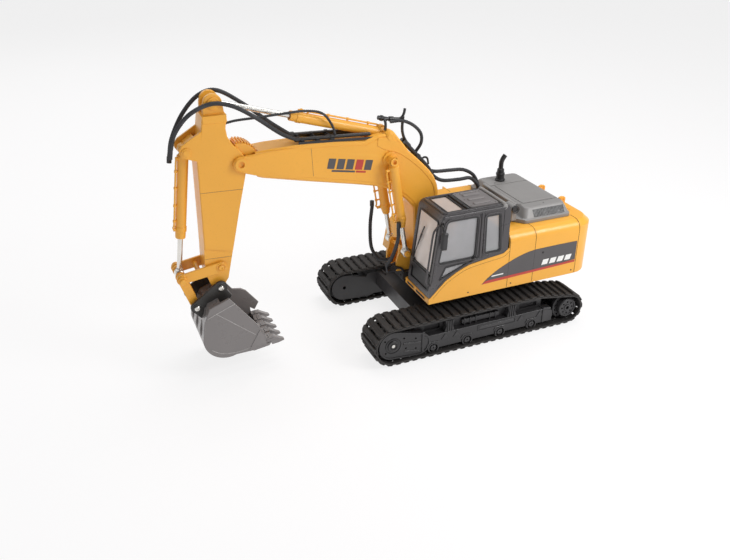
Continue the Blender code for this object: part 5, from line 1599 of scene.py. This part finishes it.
def build_fittings():
    """The couplings at the ends of the hoses."""
    elbow = [rod((-97, 0, 254.6), (-86, 0, 251.8), 2.3, 14),
             rod((-94.5, 0, 254), (-91, 0, 253.1), 3.1, 6)]
    elbow += [rod((-88, 0, 252.3), (-72, 0, 250.2), 1.9, 14),
              rod((-84, 0, 251.7), (-79, 0, 251.1), 2.8, 14)]
    curve = smooth_line([(-73, 0, 250.4), (-69, 0, 251.6), (-66.4, 0, 255.4), (-65.2, 0, 261)], 4)
    elbow.append(tube(curve, 1.5, 12))
    elbow.append(bent([(-91, 0, 253), (-91.2, -5, 252.4), (-91.6, -8.4, 249.6), (-92, -8.8, 243)],
                      4, 1.5, 12))
    finished("boom_coupling", "boom", "black", joined(*elbow), edge=0.15)
    ends = []
    for x, y, z, lean in ((-317, -8.5, 247.5, 2.6), (-316, 8.5, 238.5, 2.2)):
        ends.append(rod((x, y, z), (x - lean * 0.4, y + 0.4 * (1 if y < 0 else -1), z - 6.5),
                        2.7, 6))
    finished("arm_hose_ends", "arm", "black", joined(*ends), edge=0.2)
    nuts = [rod((x, y, z), (x, y, z + 6.6), 2.7, 6)
            for x, y, z in ((-84, -30, 137), (-90, 30, 141))]
    finished("foot_hose_ends", "house", "black", joined(*nuts), edge=0.2)
    ring = [rod((49, 17.4, 145), (51, 18.4, 138), 2.9, 6),
            rod((50.6, 27.8, 146), (51.4, 28.2, 138), 2.9, 6)]
    ring.append(slab(round_box((46.5, 12), (56.5, 34), 1.5, 3), HOUSE_TOP + 0.1, 140.5, 0.6, "Z"))
    finished("rear_hose_block", "house", "black", joined(*ring), edge=0.4)
    base = [rod((-66.6, y, 225.6), (-61, y, 219.6), 2.8, 6) for y in (-4.5, 4.5)]
    inner = [(-66.4, 1.5, 252), (-67.2, 1.5, 239), (-65, 1.5, 229), (-59, 1, 219),
             (-52, 0.6, 209.6)]
    base.append(tube(even_line(inner, 0.7), 1.6, 12, ribbed(2.1, 0.12)))
    base.append(bent([(-42, 6, 195.6), (-37, 8, 199.6), (-31, 9.6, 198), (-28.6, 10.4, 190.4)], 6,
                     1.2, 10))
    base.append(slab(round_box((-53, -7), (-47.4, 7), 1.2, 3), 203.6, 209, 0.4, "Z"))
    plain_piece("boom_hose_ends", "boom", "black", *base)


# ---- track frames, wheels and chassis ----

IDLER = pivot("idler_turn_left")
SPROCKET = pivot("track_drive_left")
ROLLERS = [pivot(f"roller_turn_left_{i}") for i in range(1, 5)]
FRAME_IN = -56
FRAME_OUT = -88
GUARD = capsule(IDLER, (-84, 19.5), 17, 36, 14)


def guard_details():
    """What stands proud on the near guard plate: a capsule rim, the hub and a rib."""
    y = FRAME_OUT
    parts = [ring_strip(GUARD, 0, 1.6, y - 0.9, y + 0.5)]
    hub = turned((IDLER[0], y + 0.4, IDLER[1]), (IDLER[0], y - 8, IDLER[1]),
                 [(0, 6.6), (1.4, 6.6), (2, 6), (2, 4.6), (1.2, 4.2), (1.2, 3.2), (2, 2.9)], 32)
    parts.append(hub)
    parts.append(slab([(-103, 22.6), (-82, 20), (-82, 22.4), (-103, 25.4)], y - 0.8, y + 0.4, 0.3))
    parts.append(slab([(-102, 13), (-84, 9.6), (-84, 11.6), (-102, 15.2)], y - 0.7, y + 0.4, 0.3))
    return parts


def guard_holes():
    y = FRAME_OUT
    holes = [(-102.4, 31), (-100, 17.6), (-88, 27.6), (-87.6, 14.6), (-124.6, 16.6), (-125.4, 32)]
    cuts = [rod((x, y - 2, z), (x, y + 2.2, z), 1.15, 16) for x, z in holes]
    cuts.append(ring_strip(circle(IDLER, 9.2, 40), 0.55, 0.55, y - 2, y + 0.9))
    return cuts


def roller_bracket(x, z):
    """The raised ring and cheeks round a roller's end, open at the bottom."""
    y = FRAME_OUT
    ring = ring_strip(circle((x, z), 5.5), 1.3, 0, y - 1.3, y + 0.6)
    return [ring,
            slab([(x - 8.8, 13), (x - 6.2, 17.4), (x + 6.2, 17.4), (x + 8.8, 13), (x + 6.6, 12.2),
                  (x - 6.6, 12.2)], y - 0.8, y + 0.4, 0.3)]


def beam_details():
    y = FRAME_OUT
    parts = []
    for x, z in ROLLERS:
        parts += roller_bracket(x, z)
    parts.append(ring_strip(round_box((-8, 17.8), (42, 24.6), 1.2, 3), 0.5, 0.5, y - 0.55, y + 0.3))
    parts.append(slab(round_box((-6.6, 19.4), (40.4, 23), 0.9, 3), y - 0.3, y + 0.3, 0.15))
    for x in (-51, -36, 50, 76):
        parts.append(slab([(x - 5, 18), (x + 5, 18), (x, 25)], y - 0.7, y + 0.3, 0.3))
    parts.append(slab([(-79, 25.4), (80, 25.4), (80, 26.8), (-79, 26.8)], y - 0.7, y + 0.8, 0.25))
    parts.append(slab(rectangle((-80.4, 8.4), (-77.8, 34)), y - 1.2, y + 2, 0.3))
    parts.append(slab([(80, 8.4), (82.6, 8.4), (82.6, 27), (80, 27.6)], y - 1.2, y + 2, 0.3))
    parts.append(slab(round_box((-27, 29), (22, 34.6), 1, 3), y + 4.5, y + 9, 0.5))
    for x in (-24, -16.5, -9, 9.5, 17):
        parts.append(slab(rectangle((x - 0.7, 27), (x + 0.7, 36)), y + 3.8, y + 9, 0.2))
    return parts


def guide_bracket(x):
    """An hourglass guide that carries the top run of the track."""
    y = FRAME_OUT
    side = [(x - 6.4, 26), (x - 6, 28), (x - 3.9, 33.4), (x - 5.6, 39.4), (x - 6, 41.2),
            (x + 6, 41.2), (x + 5.6, 39.4), (x + 3.9, 33.4), (x + 6, 28), (x + 6.4, 26)]
    parts = [slab(side, y + 0.2, y + 24, 0.5)]
    for dx in (-2.9, 0, 2.9):
        parts.append(slab(rectangle((x + dx - 0.55, 26.6), (x + dx + 0.55, 40.6)), y - 0.9,
                          y + 1, 0.2))
    return parts


def gearbox_parts():
    y = FRAME_OUT
    case = capsule(SPROCKET, (80, 20), 14, 36, 11)
    inner = slab(case, FRAME_IN - 4, FRAME_IN, 0.5)
    bulge = turned((SPROCKET[0], FRAME_IN - 2, SPROCKET[1]),
                   (SPROCKET[0], FRAME_IN + 30, SPROCKET[1]),
                   [(0, 12), (3.6, 12), (4.6, 11), (4.6, 6), (5.8, 5.4)], 32)
    hook = arc(SPROCKET, 17.4, 128, 232, 16) + arc(SPROCKET, 14.6, 232, 128, 16)
    return [inner, bulge, slab(hook, y + 5, y + 9.4, 0.4),
            slab([(80, 9), (92, 9), (96, 14), (92, 26), (80, 27)], y + 0.4, y + 9.4, 0.5)]


def build_track_frame(side, flip):
    base = slab(GUARD, FRAME_IN - 4, FRAME_IN, 0.4)
    adds = [slab(GUARD, FRAME_OUT, FRAME_OUT + 4, 0.4),
            pin(IDLER, FRAME_OUT + 2, FRAME_IN - 2, 3.4)]
    low_beam = [(-80, 8.3), (94, 8.3), (94, 22), (80, 26.5), (-80, 26.5)]
    adds.append(prism(low_beam, FRAME_OUT, FRAME_IN))
    adds.append(prism(rectangle((-92, 20), (-79, 33.5)), FRAME_OUT, FRAME_IN))
    top = [(-90, 25), (82, 25), (82, 36), (66, 38.5), (-84, 38.5)]
    adds.append(prism(top, FRAME_OUT + 8, FRAME_IN))
    adds.append(pin(SPROCKET, FRAME_OUT + 6, FRAME_IN - 3, 4))
    adds += guard_details() + beam_details() + gearbox_parts()
    for x in (-45, 37):
        adds += guide_bracket(x)
    cuts = [pin(IDLER, FRAME_OUT - 3, FRAME_IN + 1, 2.2)] + guard_holes()
    for x, z in ROLLERS:
        cuts.append(pin((x, z), FRAME_OUT - 3, FRAME_OUT + 14, 5.2, 32))
        cuts.append(box((x - 3.6, FRAME_OUT - 3, 0), (x + 3.6, FRAME_OUT + 14, z)))
    cuts.append(prism(rounded([(-74, 28.4), (-54, 28.4), (-54, 35.4), (-74, 35.4)], 1.5, 3),
                      FRAME_OUT + 7, FRAME_OUT + 11))
    cuts.append(prism(rounded([(52, 28.4), (76, 28.4), (76, 34), (52, 35.4)], 1.5, 3),
                      FRAME_OUT + 7, FRAME_OUT + 11))
    finished(f"side_frame_{side}", "undercarriage", "under", flip(base), [flip(a) for a in adds],
             [flip(c) for c in cuts], 0.22, [f"track_frame_{side}"])


def wheel_holes(centre, count, radius, size, low, high):
    return [pin(polar(centre, radius, 2 * math.pi * i / count), low, high, size, 12)
            for i in range(count)]


def sprocket_outline():
    tooth = [(0, 12.6), (0.3, 12.6), (0.42, 15.2), (0.52, 15.5), (0.78, 15.5), (0.88, 15.2)]
    pitch = 2 * math.pi / 13
    return [polar(SPROCKET, radius, pitch * (i + share)) for i in range(13)
            for share, radius in tooth]


def build_wheels(side, flip):
    teeth = prism(sprocket_outline(), -82, -64)
    hub = turned((SPROCKET[0], -62, SPROCKET[1]), (SPROCKET[0], -100, SPROCKET[1]),
                 [(0, 10.6), (20.5, 10.6), (21, 11.9), (26, 11.9), (27, 11), (27, 9.8), (26, 9.4),
                  (26, 4.4), (27, 4), (27, 2.2), (24, 2)], 40)
    cuts = wheel_holes(SPROCKET, 8, 7.2, 1.15, -92, -85.5)
    cuts.append(ring_strip(circle(SPROCKET, 11.4, 40), 0.9, 0.9, -74.6, -71.4))
    cuts.append(pin(SPROCKET, -84, -50, 4.6))
    finished(f"drive_wheel_{side}", f"sprocket_{side}", "wheel", flip(teeth), [flip(hub)],
             [flip(c) for c in cuts], 0.2, [f"sprocket_{side}"])
    axle = rod((IDLER[0], FRAME_OUT + 1, IDLER[1]), (IDLER[0], FRAME_OUT - 1.2, IDLER[1]), 2, 20)
    finished(f"axle_end_{side}", "undercarriage", "screw", flip(axle), edge=0)
    wheel = turned((IDLER[0], FRAME_OUT + 4.6, IDLER[1]), (IDLER[0], FRAME_IN, IDLER[1]),
                   [(0, 8), (0.8, 8), (0.8, 15.5), (1.6, 16.4), (1.6, 18.6), (2.2, 19), (9.6, 19),
                    (10.2, 17.4), (12.6, 17.4), (13.2, 19), (20.6, 19), (21.2, 18.6), (21.2, 16.4),
                    (22, 15.5), (22, 8), (22.8, 8)], 40)
    cuts = [pin(IDLER, -100, -40, 4), *wheel_holes(IDLER, 6, 11.5, 2.4, -100, -40)]
    finished(f"front_wheel_{side}", f"idler_{side}", "wheel", flip(wheel), [],
             [flip(c) for c in cuts], 0.25, [f"idler_{side}"])
    for i, (x, z) in enumerate(ROLLERS, 1):
        start = (x, FRAME_OUT + 13.4, z)
        end = (x, FRAME_OUT - 8, z)
        profile = [(0, 4.2), (0.3, 4.5), (11.6, 4.5), (12.4, 4), (12.4, 3.4), (13, 3.4)]
        shell = turned(start, end, profile, 32)
        cap = rod((x, FRAME_OUT + 1.2, z), (x, FRAME_OUT - 0.9, z), 3.5, 8)
        holes = [pin((x, z), FRAME_OUT - 2, FRAME_OUT + 1.6, 1, 12)]
        holes += wheel_holes((x, z), 4, 2.3, 0.42, FRAME_OUT - 2, FRAME_OUT + 0.2)
        finished(f"road_wheel_{side}_{i}", f"roller_{side}_{i}", "wheel", flip(shell), [flip(cap)],
                 [flip(c) for c in holes], 0.15, [f"roller_{side}_{i}"])


def build_chassis():
    """Ribs, bolts and collars on the cross frame and round the turntable."""
    parts = []
    for a in range(0, 360, 30):
        x, y = polar((0, 0), 42.4, math.radians(a + 15))
        parts.append(turned((x, y, 43.6), (x, y, 60),
                            [(0, 2), (1.6, 2), (2, 1.6), (2, 0.8), (1.2, 0.8)], 12))
    for side in (-1, 1):
        for x in (-66, -46, 52, 72):
            parts.append(box((x - 0.8, side * 48 - 7, 39.6), (x + 0.8, side * 48 + 7, 42.4)))
        for x in (-64, 58):
            parts.append(rod((x + 8, side * 50, 39), (x + 8, side * 50, 41.2), 2.4, 6))
    plain_piece("chassis_bolts", "undercarriage", "under", *parts)
    ribs = [box((x, -30, 15.4), (x + 3, 30, 17.3)) for x in (-24, 21)]
    ribs += [rod((x, y, 15.2), (x, y, 18), 2.2, 16) for x in (-20, 24) for y in (-25, 25)]
    finished("belly_screws", "undercarriage", "under", joined(*ribs), edge=0.2)
    marks = [box((-4.2, y, 16.7), (8.2, y + 0.8, 17.2)) for y in (15.6, 22.6)]
    finished("switch_rim", "undercarriage", "under", joined(*marks), edge=0.1)


def build_undercarriage():
    build_tracks()
    for side, sign in SIDES:
        flip = (lambda solid: solid) if sign < 0 else flipped
        build_track_frame(side, flip)
        build_wheels(side, flip)
    build_chassis()


LOOKS = make_looks()
make_camera()
make_studio()
dress_cad_nodes()
build_undercarriage()
build_boom()
build_arm()
build_cylinders()
build_linkage()
build_bucket()
build_hoses()
build_cab()
build_shells()
build_hood()
build_tail()
build_deck()
build_fittings()
